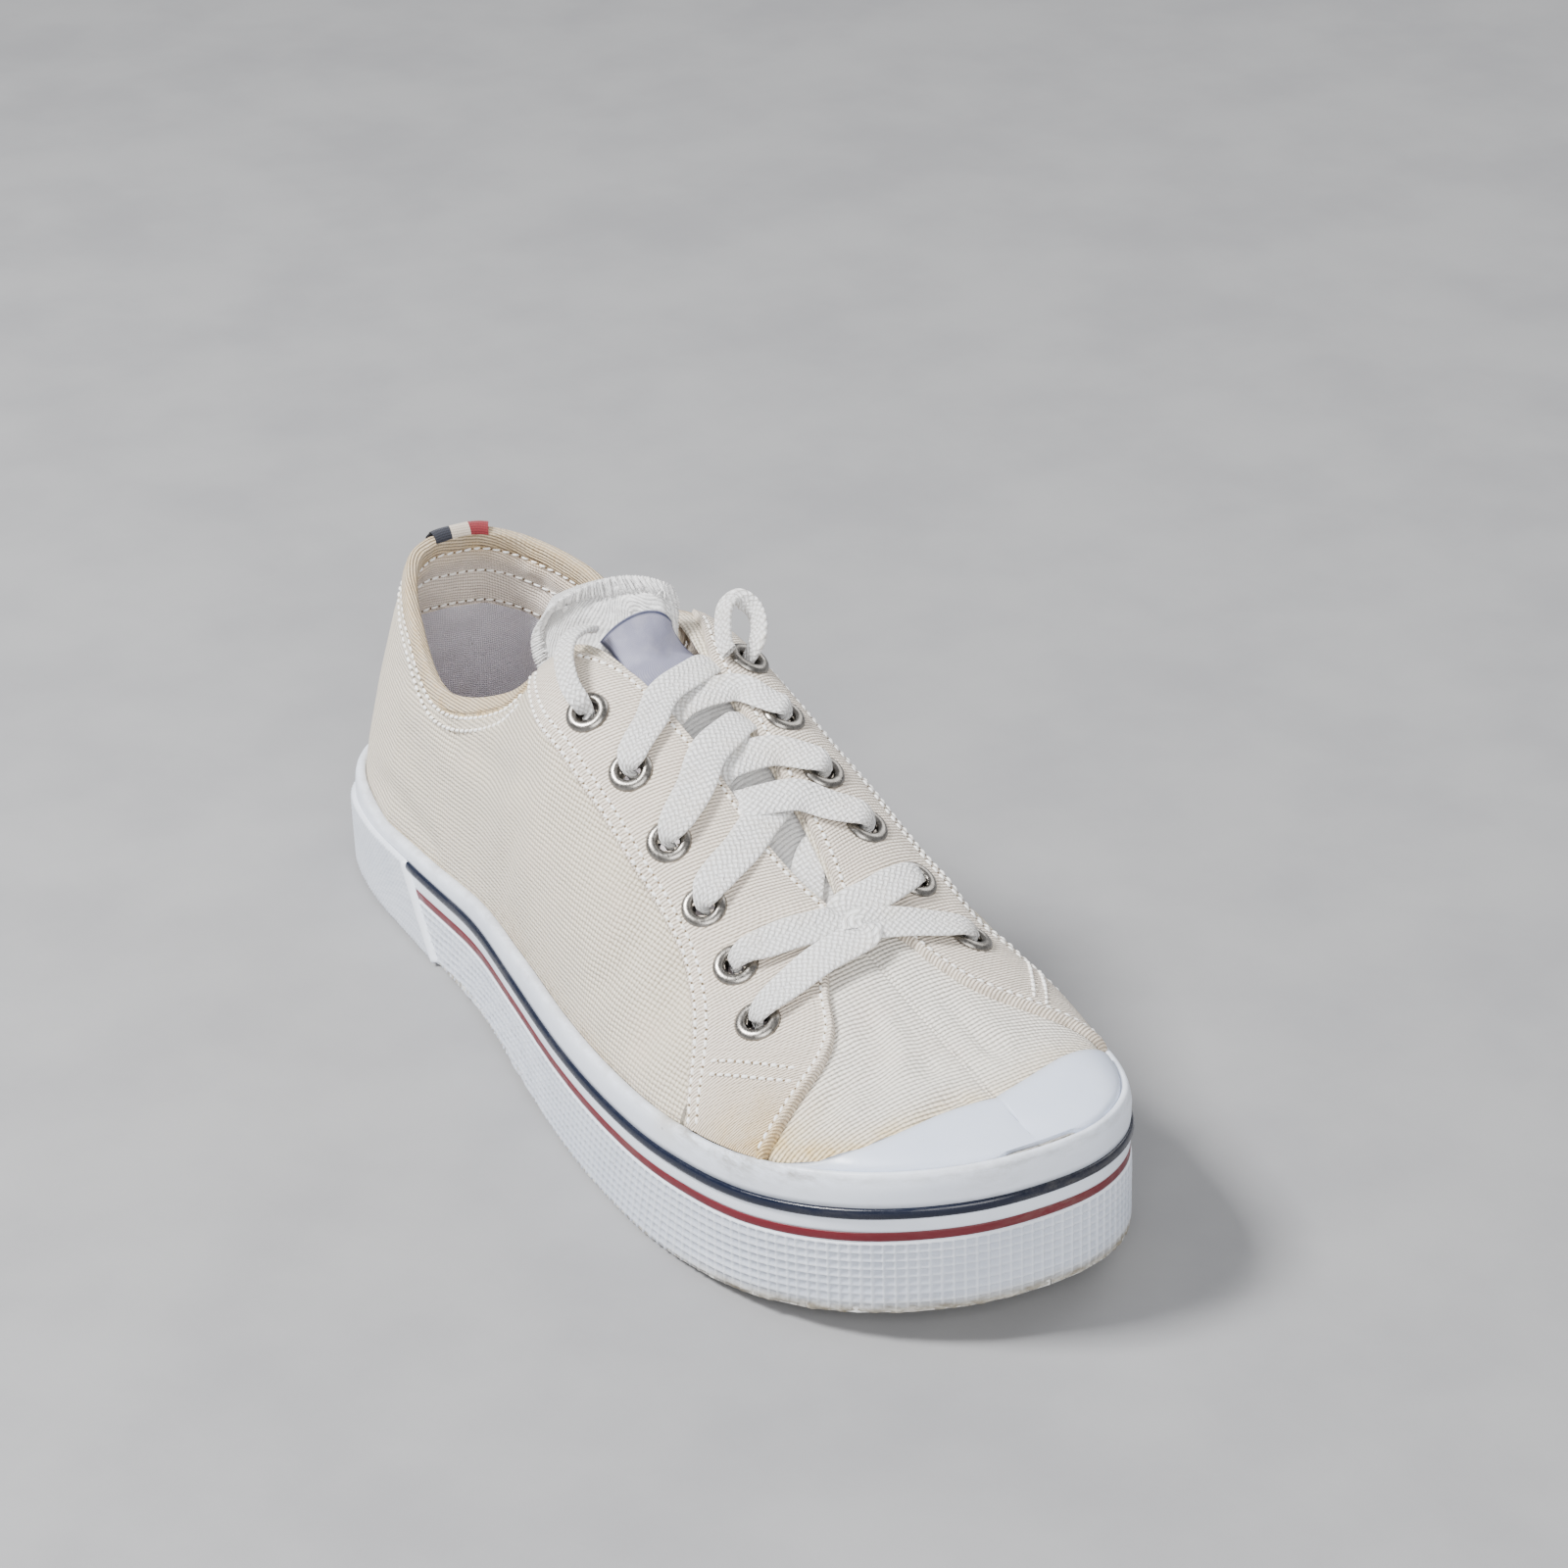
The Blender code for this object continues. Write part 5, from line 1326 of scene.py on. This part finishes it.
for tag, skin_p, flip in (("top", top_skin, False), ("under", under_skin, True)):
    grime_and_shade = 0.35 * bell(border, 1.2)
    ob = make("tongue_terry_" + tag, skin_p.reshape(-1, 3), quads(len(t_row), len(t_col), flip),
              maps=grid_map(tongue_p), marks={"stain": np.zeros(rr.size), "grime_and_shade": grime_and_shade.ravel()},
              looks=[TERRY])
    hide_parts("tongue")

# Overlocked edge: thick threads wrapped over the tongue's rim, square to it.
rim_rc = [(r, 0.0) for r in np.linspace(11.0, 15.98, 60)] + [(16.0, c) for c in np.linspace(0.05, 7.95, 60)]
rim_rc += [(r, 8.0) for r in np.linspace(15.98, 13.0, 30)]
rim_rc = np.array(rim_rc)
rim_p = tongue_at(rim_rc[:, 0], rim_rc[:, 1])
inner_rc = np.column_stack([np.clip(rim_rc[:, 0], 0.0, 15.55), np.clip(rim_rc[:, 1], 0.9, 7.1)])
inner_p = tongue_at(inner_rc[:, 0], inner_rc[:, 1])
run = run_along(rim_p)
rng = np.random.default_rng(12)
sets = []
for m in np.arange(0.4, run[-1], 0.78):
    m = m + rng.uniform(-0.12, 0.12)
    outer_p = sample(m, run, rim_p)
    # One draw for each of the three coordinates.
    aim_p = np.array([np.interp(m + rng.uniform(-0.4, 0.4), run, inner_p[:, k]) for k in range(3)])
    way = aim_p - outer_p
    way /= np.linalg.norm(way)
    k = int(np.argmin(np.abs(run - m)))
    up_n = tongue_n[int(np.argmin(np.abs(t_row - rim_rc[k, 0]))),
                    int(np.argmin(np.abs(t_col - rim_rc[k, 1])))]
    up_n = up_n - way * (up_n @ way)
    up_n /= np.linalg.norm(up_n)
    reach = rng.uniform(3.9, 4.9)
    path = []
    for angle in np.linspace(-2.4, 0.0, 6):
        loop_reach = 0.9 - 1.25 * math.cos(angle * 0.62)
        loop_height = -half + (half + 0.3) * math.sin(angle * 0.65 + math.pi / 2.0)
        path.append(outer_p + way * loop_reach + up_n * loop_height)
    for d in np.linspace(0.8, reach, 5):
        loop_height = 0.28 + rng.uniform(-0.08, 0.1) - 0.35 * max(d - reach + 1.0, 0.0)
        path.append(outer_p + way * d + up_n * loop_height)
    sets.append((np.array(path), up_n, rng.uniform(0.30, 0.42)))


def tubes(name, sets, look, sides=6):
    """Joined round threads along short paths."""
    ring = np.arange(sides) * 2.0 * math.pi / sides
    points, faces, count = [], [], 0
    for path, up_way, r in sets:
        ahead = np.gradient(path, axis=0)
        ahead /= np.maximum(np.linalg.norm(ahead, axis=1), 1e-9)[:, None]
        side = np.cross(ahead, up_way)
        side /= np.maximum(np.linalg.norm(side, axis=1), 1e-9)[:, None]
        other = np.cross(side, ahead)
        size = np.full(len(path), r)
        size[0] *= 0.3
        size[-1] *= 0.3
        turned = np.cos(ring)[None, :, None] * side[:, None] + np.sin(ring)[None, :, None] * other[:, None]
        g = path[:, None] + size[:, None, None] * turned
        points.append(g.reshape(-1, 3))
        for i in range(len(path) - 1):
            for j in range(sides):
                jj = (j + 1) % sides
                low_ring, high_ring = count + i * sides, count + (i + 1) * sides
                faces.append((low_ring + j, low_ring + jj, high_ring + jj, high_ring + j))
        count += len(path) * sides
    points = np.vstack(points)
    make(name, points, np.array(faces), maps=points[:, :2], looks=[look])


tubes("tongue_overlock", sets, TERRY)

# Blank label, sewn on the tongue.
lab_r = np.linspace(10.15, 14.0, 60)
lab_c = np.linspace(2.0, 7.0, 60)
rr, cc = np.meshgrid(lab_r, lab_c, indexing="ij")
arched = rr - 0.42 * ((cc - 4.5) / 2.5)**2 * (rr - 10.15) / 3.85
lab = tongue_at(arched, cc)
lab_n = grid_normals(lab)
g = grid_map(lab).reshape(*rr.shape, 2)
size_s, size_t = g[..., 0].max(), g[..., 1]
edge_d = np.minimum(np.minimum(g[..., 0], size_s - g[..., 0]), np.minimum(size_t, size_t[-1:] - size_t))
lab_lift = 0.25 + 0.35 * np.clip(edge_d / 0.5, 0.0, 1.0) + 0.18 * ripple(lab.reshape(-1, 3), 51,
                                                                         11.0).reshape(rr.shape)
lab_p = lab + lab_n * (lab_lift + 0.12)[..., None]
border_mark = smooth01(1.35 - np.abs(edge_d - 0.5) / 0.45)
ob = make("label_blank", lab_p.reshape(-1, 3), quads(60, 60), maps=g.reshape(-1, 2),
          marks={"stain": np.zeros(3600), "grime_and_shade": np.zeros(3600), "border": border_mark.ravel()},
          looks=[LABEL])
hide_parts("tongue_label")

# heel ribbon
TAPE_W = 17.0
TAPE_LEAN = 6.5
round_heel = np.linspace(-2.5, 2.5, 401)
tape_share = np.linspace(0.5, -0.5, 37)
tape_p, tape_n = [], []
for w in np.concatenate([np.linspace(0.04, 0.95, 60), [0.965, 0.98, 0.99]]):
    y = rib(round_heel, w)[:, 1]
    u = np.interp(TAPE_LEAN * w**2 + TAPE_W * tape_share, y[::-1], round_heel[::-1])
    n = rib_normal(u, w)
    tape_n.append(n)
    tape_p.append(rib(u, w) + n * (0.35 + BIND_T * float(smooth01((w - 0.90) / 0.03))))
centre_n = tape_n[-1]
last = tape_p[-1]
for angle in np.linspace(0.25, 1.0, 7):
    a = angle * math.pi
    inward = -2.0 * (1.0 - math.cos(a)) * 0.5 * 1.9
    tape_p.append(last + centre_n * inward + np.array([0.0, 0.0, 1.5 * math.sin(a)]))
    tape_n.append(centre_n)
tape_p = np.array(tape_p)
rows, cols = tape_p.shape[:2]
faces = quads(rows, cols)
third = (faces[:, 0] % cols) * 3 // (cols - 1)
ob = make("heel_ribbon", tape_p.reshape(-1, 3), faces, maps=grid_map(tape_p), looks=RIBBON, which=2 - third)
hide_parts("heel_tape")

# eyelets
SEAT_LOW = STAY_TOP - 0.12
PROFILE = [(2.75, -CANVAS_T - 0.5), (2.62, 0.0), (2.6, SEAT_LOW), (2.72, SEAT_LOW + 0.45),
           (3.0, SEAT_LOW + 0.82), (3.4, SEAT_LOW + 1.06), (3.9, SEAT_LOW + 1.16), (4.4, SEAT_LOW + 1.1),
           (4.9, SEAT_LOW + 0.9), (5.3, SEAT_LOW + 0.55), (5.55, SEAT_LOW + 0.12), (5.6, SEAT_LOW - 0.12),
           (5.2, SEAT_LOW - 0.3)]
turn = np.linspace(0.0, 2.0 * math.pi, 49)
for tag, row, p, n in EYES:
    side = np.cross(n, [1.0, 0.0, 0.0])
    side /= np.linalg.norm(side)
    other = np.cross(n, side)
    rings = []
    for r, h in PROFILE:
        rings.append(p + n * h + np.outer(np.cos(turn), side) * r + np.outer(np.sin(turn), other) * r)
    rings = np.array(rings)
    dirt = np.array([0.9, 0.8, 0.6, 0.3, 0.1, 0.0, 0.0, 0.0, 0.0, 0.1, 0.4, 0.8, 0.9])
    ob = make("eyelet_ring_%s_%d" % (tag, row + 1), rings.reshape(-1, 3), quads(len(rings), len(turn)),
              maps=grid_map(rings),
              marks={"stain": np.zeros(rings.shape[0] * rings.shape[1]),
                     "grime_and_shade": np.repeat(dirt, len(turn))}, looks=[NICKEL])
    weld_close(ob, 0.003)
    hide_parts("eyelet_%s_%d" % (tag, row + 1))


# laces
def ribbon_tube(centres, ups, half_w, half_t, cup, sides=24):
    """Flat braid along a line: width, thickness and how far its edges curl up at each point."""
    ahead = np.gradient(centres, axis=0)
    ahead /= np.linalg.norm(ahead, axis=1)[:, None]
    wide = np.cross(ahead, ups)
    wide /= np.linalg.norm(wide, axis=1)[:, None]
    up_way = np.cross(wide, ahead)
    t = np.linspace(0.0, 2.0 * math.pi, sides + 1)
    x = np.sign(np.cos(t)) * np.abs(np.cos(t))**0.75
    y = np.sign(np.sin(t)) * np.abs(np.sin(t))**0.8
    run = run_along(centres)
    rings, maps = [], []
    for k in range(len(centres)):
        wx = x * half_w[k]
        hy = y * half_t[k] + cup[k] * (x**2 - 0.4)
        rings.append(centres[k] + np.outer(wx, wide[k]) + np.outer(hy, up_way[k]))
        maps.append(np.column_stack([x * 0.5 * LACE_W, np.full(sides + 1, run[k])]))
    return np.array(rings), np.array(maps)


# Each band: eyelet row, share across, height over the canvas, half width, half thickness, curl.
def out_of_hole(row, across):
    """First two points of a band that comes up through an eyelet."""
    return [(row, across, -1.6, 1.6, 1.2, 0.2), (row, across, 2.6, 1.9, 1.25, 0.3)]


def into_hole(row, across):
    return out_of_hole(row, across)[::-1]


ROUTES = [
    out_of_hole(5.0, 0.0) + [
        (5.02, 0.06, 4.4, 3.4, 0.9, 0.2), (5.08, 0.14, 3.9, 4.4, 0.68, 0.1),
        (5.18, 0.26, 3.8, 4.6, 0.6, 0.0), (5.32, 0.4, 4.6, 4.6, 0.6, 0.0),
        (5.32, 0.6, 4.6, 4.6, 0.6, 0.0), (5.22, 0.74, 3.8, 4.6, 0.6, 0.0),
        (5.12, 0.86, 3.9, 4.4, 0.68, 0.1), (5.03, 0.94, 4.4, 3.4, 0.9, 0.2),
    ] + into_hole(5.0, 1.0),
    out_of_hole(4.0, 0.0) + [
        (4.03, 0.06, 4.3, 3.4, 0.9, 0.2), (4.16, 0.13, 3.7, 4.4, 0.68, 0.1),
        (4.36, 0.26, 2.4, 4.6, 0.6, 0.0), (4.52, 0.4, 1.6, 4.6, 0.6, 0.0),
        (4.52, 0.6, 1.6, 4.6, 0.6, 0.0), (4.38, 0.74, 2.4, 4.6, 0.6, 0.0),
        (4.22, 0.84, 3.7, 4.4, 0.68, 0.1), (4.05, 0.94, 4.3, 3.4, 0.9, 0.2),
    ] + into_hole(4.0, 1.0),
    out_of_hole(3.0, 0.0) + [
        (2.95, 0.04, 4.2, 3.5, 0.9, 0.2), (2.86, 0.1, 3.7, 4.5, 0.68, 0.1),
        (2.78, 0.26, 2.6, 4.7, 0.6, 0.0), (2.6, 0.44, 2.1, 4.7, 0.6, 0.0),
        (2.42, 0.56, 0.6, 4.2, 0.6, 0.0), (2.3, 0.63, -2.4, 4.0, 0.55, 0.0),
        (2.2, 0.72, -3.0, 4.0, 0.5, 0.0),
    ],
    out_of_hole(3.0, 1.0) + [
        (2.93, 0.95, 4.3, 3.6, 0.9, 0.2), (2.84, 0.88, 3.8, 4.5, 0.68, 0.1),
        (2.68, 0.74, 3.2, 4.7, 0.6, 0.0), (2.52, 0.58, 3.6, 4.7, 0.6, 0.0),
        (2.34, 0.44, 2.6, 4.2, 0.6, 0.0), (2.22, 0.385, 0.2, 4.1, 0.58, 0.0),
        (2.1, 0.33, -2.8, 4.0, 0.55, 0.0), (2.0, 0.27, -3.1, 3.9, 0.5, 0.0),
    ],
    out_of_hole(2.0, 0.0) + [
        (1.96, 0.05, 4.2, 3.6, 0.9, 0.2), (1.9, 0.12, 3.7, 4.5, 0.68, 0.1),
        (1.76, 0.26, 3.2, 4.7, 0.6, 0.0), (1.5, 0.45, 3.8, 4.7, 0.6, 0.0),
        (1.22, 0.55, 2.4, 4.2, 0.6, 0.0), (1.06, 0.61, -0.4, 4.1, 0.58, 0.0),
        (0.96, 0.67, -2.9, 4.0, 0.55, 0.0), (0.9, 0.72, -3.1, 3.9, 0.5, 0.0),
    ],
    out_of_hole(2.0, 1.0) + [
        (1.96, 0.95, 4.2, 3.6, 0.9, 0.2), (1.88, 0.88, 3.7, 4.5, 0.68, 0.1),
        (1.76, 0.72, 2.6, 4.7, 0.6, 0.0), (1.72, 0.56, 2.3, 4.7, 0.6, 0.0),
        (1.76, 0.45, 1.5, 4.2, 0.6, 0.0), (1.82, 0.39, -0.8, 4.0, 0.55, 0.0),
        (1.86, 0.33, -2.9, 3.9, 0.5, 0.0),
    ],
    out_of_hole(1.0, 0.0) + [
        (0.95, 0.05, 4.2, 3.5, 0.9, 0.2), (0.88, 0.12, 3.7, 3.9, 0.72, 0.1),
        (0.78, 0.32, 3.3, 4.1, 0.66, 0.0), (0.56, 0.47, 3.8, 4.2, 0.62, 0.0),
        (0.32, 0.56, 2.2, 4.1, 0.6, 0.0), (0.16, 0.62, -0.6, 4.0, 0.58, 0.0),
        (0.06, 0.67, -2.9, 3.9, 0.55, 0.0), (0.0, 0.7, -3.1, 3.9, 0.5, 0.0),
    ],
    out_of_hole(1.0, 1.0) + [
        (0.97, 0.95, 4.2, 3.6, 0.9, 0.2), (0.9, 0.88, 3.8, 4.1, 0.7, 0.1),
        (0.74, 0.74, 3.0, 4.4, 0.62, 0.0), (0.66, 0.6, 2.5, 4.5, 0.6, 0.0),
        (0.74, 0.48, 2.0, 4.4, 0.6, 0.0), (0.84, 0.41, 0.2, 4.2, 0.58, 0.0),
        (0.9, 0.36, -2.8, 4.0, 0.55, 0.0), (0.92, 0.3, -3.1, 3.9, 0.5, 0.0),
    ],
    [
        (3.0, 0.74, -3.0, 3.9, 0.5, 0.0), (3.18, 0.68, -2.7, 4.1, 0.55, 0.0),
        (3.34, 0.6, -2.5, 4.2, 0.58, 0.0), (3.58, 0.5, -2.4, 4.2, 0.58, 0.0),
        (3.79, 0.4, -2.5, 4.1, 0.55, 0.0), (3.9, 0.32, -3.0, 3.9, 0.5, 0.0),
    ],
]


def evened(centres, ups, rest, step=0.5):
    """Even steps along a band, and no tight turns away from its ends."""
    run = run_along(centres)
    even = np.linspace(0.0, run[-1], max(int(run[-1] / step), 40))
    centres, ups, rest = [sample(even, run, v) for v in (centres, ups, rest)]
    width = 9
    for _ in range(2):
        soft = []
        for v in (centres, ups):
            padded = np.vstack([np.repeat(v[:1], width // 2, 0), v, np.repeat(v[-1:], width // 2, 0)])
            kernel = np.ones(width) / width
            soft.append(np.stack([np.convolve(padded[:, k], kernel, "valid") for k in range(3)], 1))
        inner = smooth01((np.minimum(even, even[-1] - even) - 9.0) / 6.0)[:, None]
        centres = centres + (soft[0] - centres) * inner
        ups = ups + (soft[1] - ups) * inner
    return centres, ups / np.linalg.norm(ups, axis=1)[:, None], rest


def lace_band(index, route):
    q = curve_at(route, np.linspace(0.0, len(route) - 1.0, 26 * (len(route) - 1)), False)
    centres = lacing_bed(q[:, 0], q[:, 1], q[:, 2])
    ups = bed_normal(q[:, 0], q[:, 1])
    centres, ups, form = evened(centres, ups, q[:, 3:6])
    wave = 0.16 * ripple(centres, 60 + index, 13.0)
    centres = centres + ups * wave[:, None]
    return ribbon_tube(centres, ups, form[:, 0], form[:, 1], form[:, 2])


for index, route in enumerate(ROUTES):
    rings, maps = lace_band(index, route)
    low = rings.reshape(-1, 3)
    grime_and_shade = 0.35 * bell(np.min(np.linalg.norm(low[:, None] - EYE_P[None], axis=2), axis=1), 3.4)
    ob = make("lace_band_%d" % (index + 1), low, quads(rings.shape[0], rings.shape[1]),
              maps=maps.reshape(-1, 2), marks={"stain": np.zeros(len(low)), "grime_and_shade": grime_and_shade}, looks=[LACE])
    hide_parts("lace")

# The two lace ends: narrow folded lace out of the top eyelets.
END_LATERAL = [
    (143.6, -25.6, 102.0), (139.0, -25.9, 104.6), (131.4, -23.4, 108.4), (124.8, -18.2, 109.4),
    (120.8, -12.6, 108.6),
]
END_MEDIAL = [
    (146.7, 21.9, 105.5), (144.0, 24.4, 109.2), (139.0, 25.4, 112.0), (136.9, 22.2, 114.2),
    (137.8, 18.4, 113.6), (141.0, 15.8, 109.8), (144.2, 14.4, 106.6), (146.2, 14.4, 105.4),
]
END_WIDTH = 5.2
for tag, route, tail in (("lateral", END_LATERAL, [(118.6, -9.0, 106.8)]), ("medial", END_MEDIAL, [])):
    way = curve_at(route + tail, np.linspace(0.0, len(route + tail) - 1.0, 60), False)
    p0, n0 = [(p, n) for name, row, p, n in EYES if name == tag and row == 0][0]
    start = np.array([p0 + n0 * h for h in (-0.6, 0.8, 2.2)])
    way = np.vstack([start, way[2:]])
    run = run_along(way)
    way = sample(np.linspace(0.0, run[-1], 64), run, way)
    for _ in range(6):
        way[1:-1] = 0.25 * way[:-2] + 0.5 * way[1:-1] + 0.25 * way[2:]
    ups = []
    ahead = np.gradient(way, axis=0)
    for k in range(len(way)):
        if tag == "lateral":
            aim = rib_normal([6.2], [0.9])[0] * 1.0 + np.array([0.1, -0.5, 0.2])
        else:
            aim = np.array([0.15, -0.75, 0.45])
        a = ahead[k] / np.linalg.norm(ahead[k])
        aim = aim - a * (aim @ a)
        ups.append(aim / np.linalg.norm(aim))
    ups = np.array(ups)
    share = np.linspace(0.0, 1.0, len(way))
    folded_in = 0.72 + 0.28 * smooth01(share / 0.2)
    half_w = END_WIDTH * 0.5 * folded_in * (1.0 - 0.1 * smooth01((share - 0.8) / 0.2))
    half_t = np.full(len(way), 1.0)
    rings, maps = ribbon_tube(way, ups, half_w, half_t, np.full(len(way), 0.35))
    low = rings.reshape(-1, 3)
    ob = make("lace_end_loop_" + tag, low, quads(rings.shape[0], rings.shape[1]),
              maps=maps.reshape(-1, 2) * np.array([0.62, 1.0]),
              marks={"stain": np.zeros(len(low)), "grime_and_shade": np.full(len(low), 0.1)}, looks=[LACE])
    length = float(np.linalg.norm(np.diff(way, axis=0), axis=1).sum()) * 0.001
    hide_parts("lace_end_" + tag)

# kept solids
INSOLE_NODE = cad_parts["insole"]
INSOLE_NODE.data.materials.clear()
INSOLE_NODE.data.materials.append(INSOLE)


def sole_look():
    """Tread rubber: fine herringbone underneath, grey soil where it meets the ground."""
    k = Look("outsole_rubber", rough=0.62, specular=0.4)
    p = k.solid()
    n = k.node("ShaderNodeSeparateXYZ")
    k.tree.links.new(p, n.inputs[0])
    x, y = n.outputs[:2]
    zig = k.math("PINGPONG", k.mul(y, 1.0), 5.0)
    wave_h = k.math("ABSOLUTE", k.math("SINE", k.mul(k.add(x, zig), math.pi / 4.0)))
    groove = k.ramp(wave_h, 0.25, 0.5)
    soil = k.ramp(k.noise(p, 12.0, 5.0, 0.7), 0.35, 0.7)
    c = k.mix(soil, srgb(218, 218, 214), srgb(168, 162, 152))
    c = k.mix(k.mul(k.math("SUBTRACT", 1.0, groove), 0.5), c, srgb(120, 114, 104))
    k.colour(c)
    k.bump(groove, 0.9, 0.9)
    k.bump(k.noise(p, 0.8, 4.0), 0.08, 0.6)
    return k.mat


OUTSOLE_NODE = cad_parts["outsole"]
OUTSOLE_NODE.data.materials.clear()
OUTSOLE_NODE.data.materials.append(sole_look())

# floor and light
def floor_look():
    k = Look("floor_plain", rough=0.75, specular=0.3)
    p = k.solid()
    c = k.mix(k.ramp(k.noise(p, 60.0, 5.0), 0.3, 0.75), srgb(152, 152, 153), srgb(142, 142, 144))
    k.colour(c)
    k.bump(k.noise(p, 3.0, 5.0, 0.7), 0.12, 0.5)
    return k.mat


mesh = bpy.data.meshes.new("floor")
far = 6.0
mesh.from_pydata([(-far, -far, 0.0), (far, -far, 0.0), (far, far, 0.0), (-far, far, 0.0)], [], [(0, 1, 2, 3)])
floor = bpy.data.objects.new("floor", mesh)
mesh.materials.append(floor_look())
bpy.context.scene.collection.objects.link(floor)


LIGHT_AIM = Vector((0.0, 0.0, 0.05))


def area_light(name, where, size, power):
    """Soft rectangle aimed at the middle of the shoe; metres and watts."""
    lamp = bpy.data.lights.new(name, "AREA")
    lamp.shape = "RECTANGLE"
    lamp.size = size[0]
    lamp.size_y = size[1]
    lamp.energy = power
    ob = bpy.data.objects.new(name, lamp)
    bpy.context.scene.collection.objects.link(ob)
    ob.location = where
    ob.rotation_euler = (LIGHT_AIM - Vector(where)).to_track_quat("-Z", "Y").to_euler()


area_light("key", (-0.35, -0.90, 1.35), (0.42, 0.42), 60.0)
area_light("fill", (1.4, -0.55, 0.85), (1.2, 1.0), 27.0)
area_light("rear", (-0.3, 1.2, 1.0), (1.2, 0.8), 9.0)
world = bpy.data.worlds.new("studio") if bpy.context.scene.world is None else bpy.context.scene.world
bpy.context.scene.world = world
world.use_nodes = True
shade = world.node_tree.nodes.get("Background")
shade.inputs[0].default_value = (0.93, 0.95, 1.0, 1.0)
shade.inputs[1].default_value = 0.40
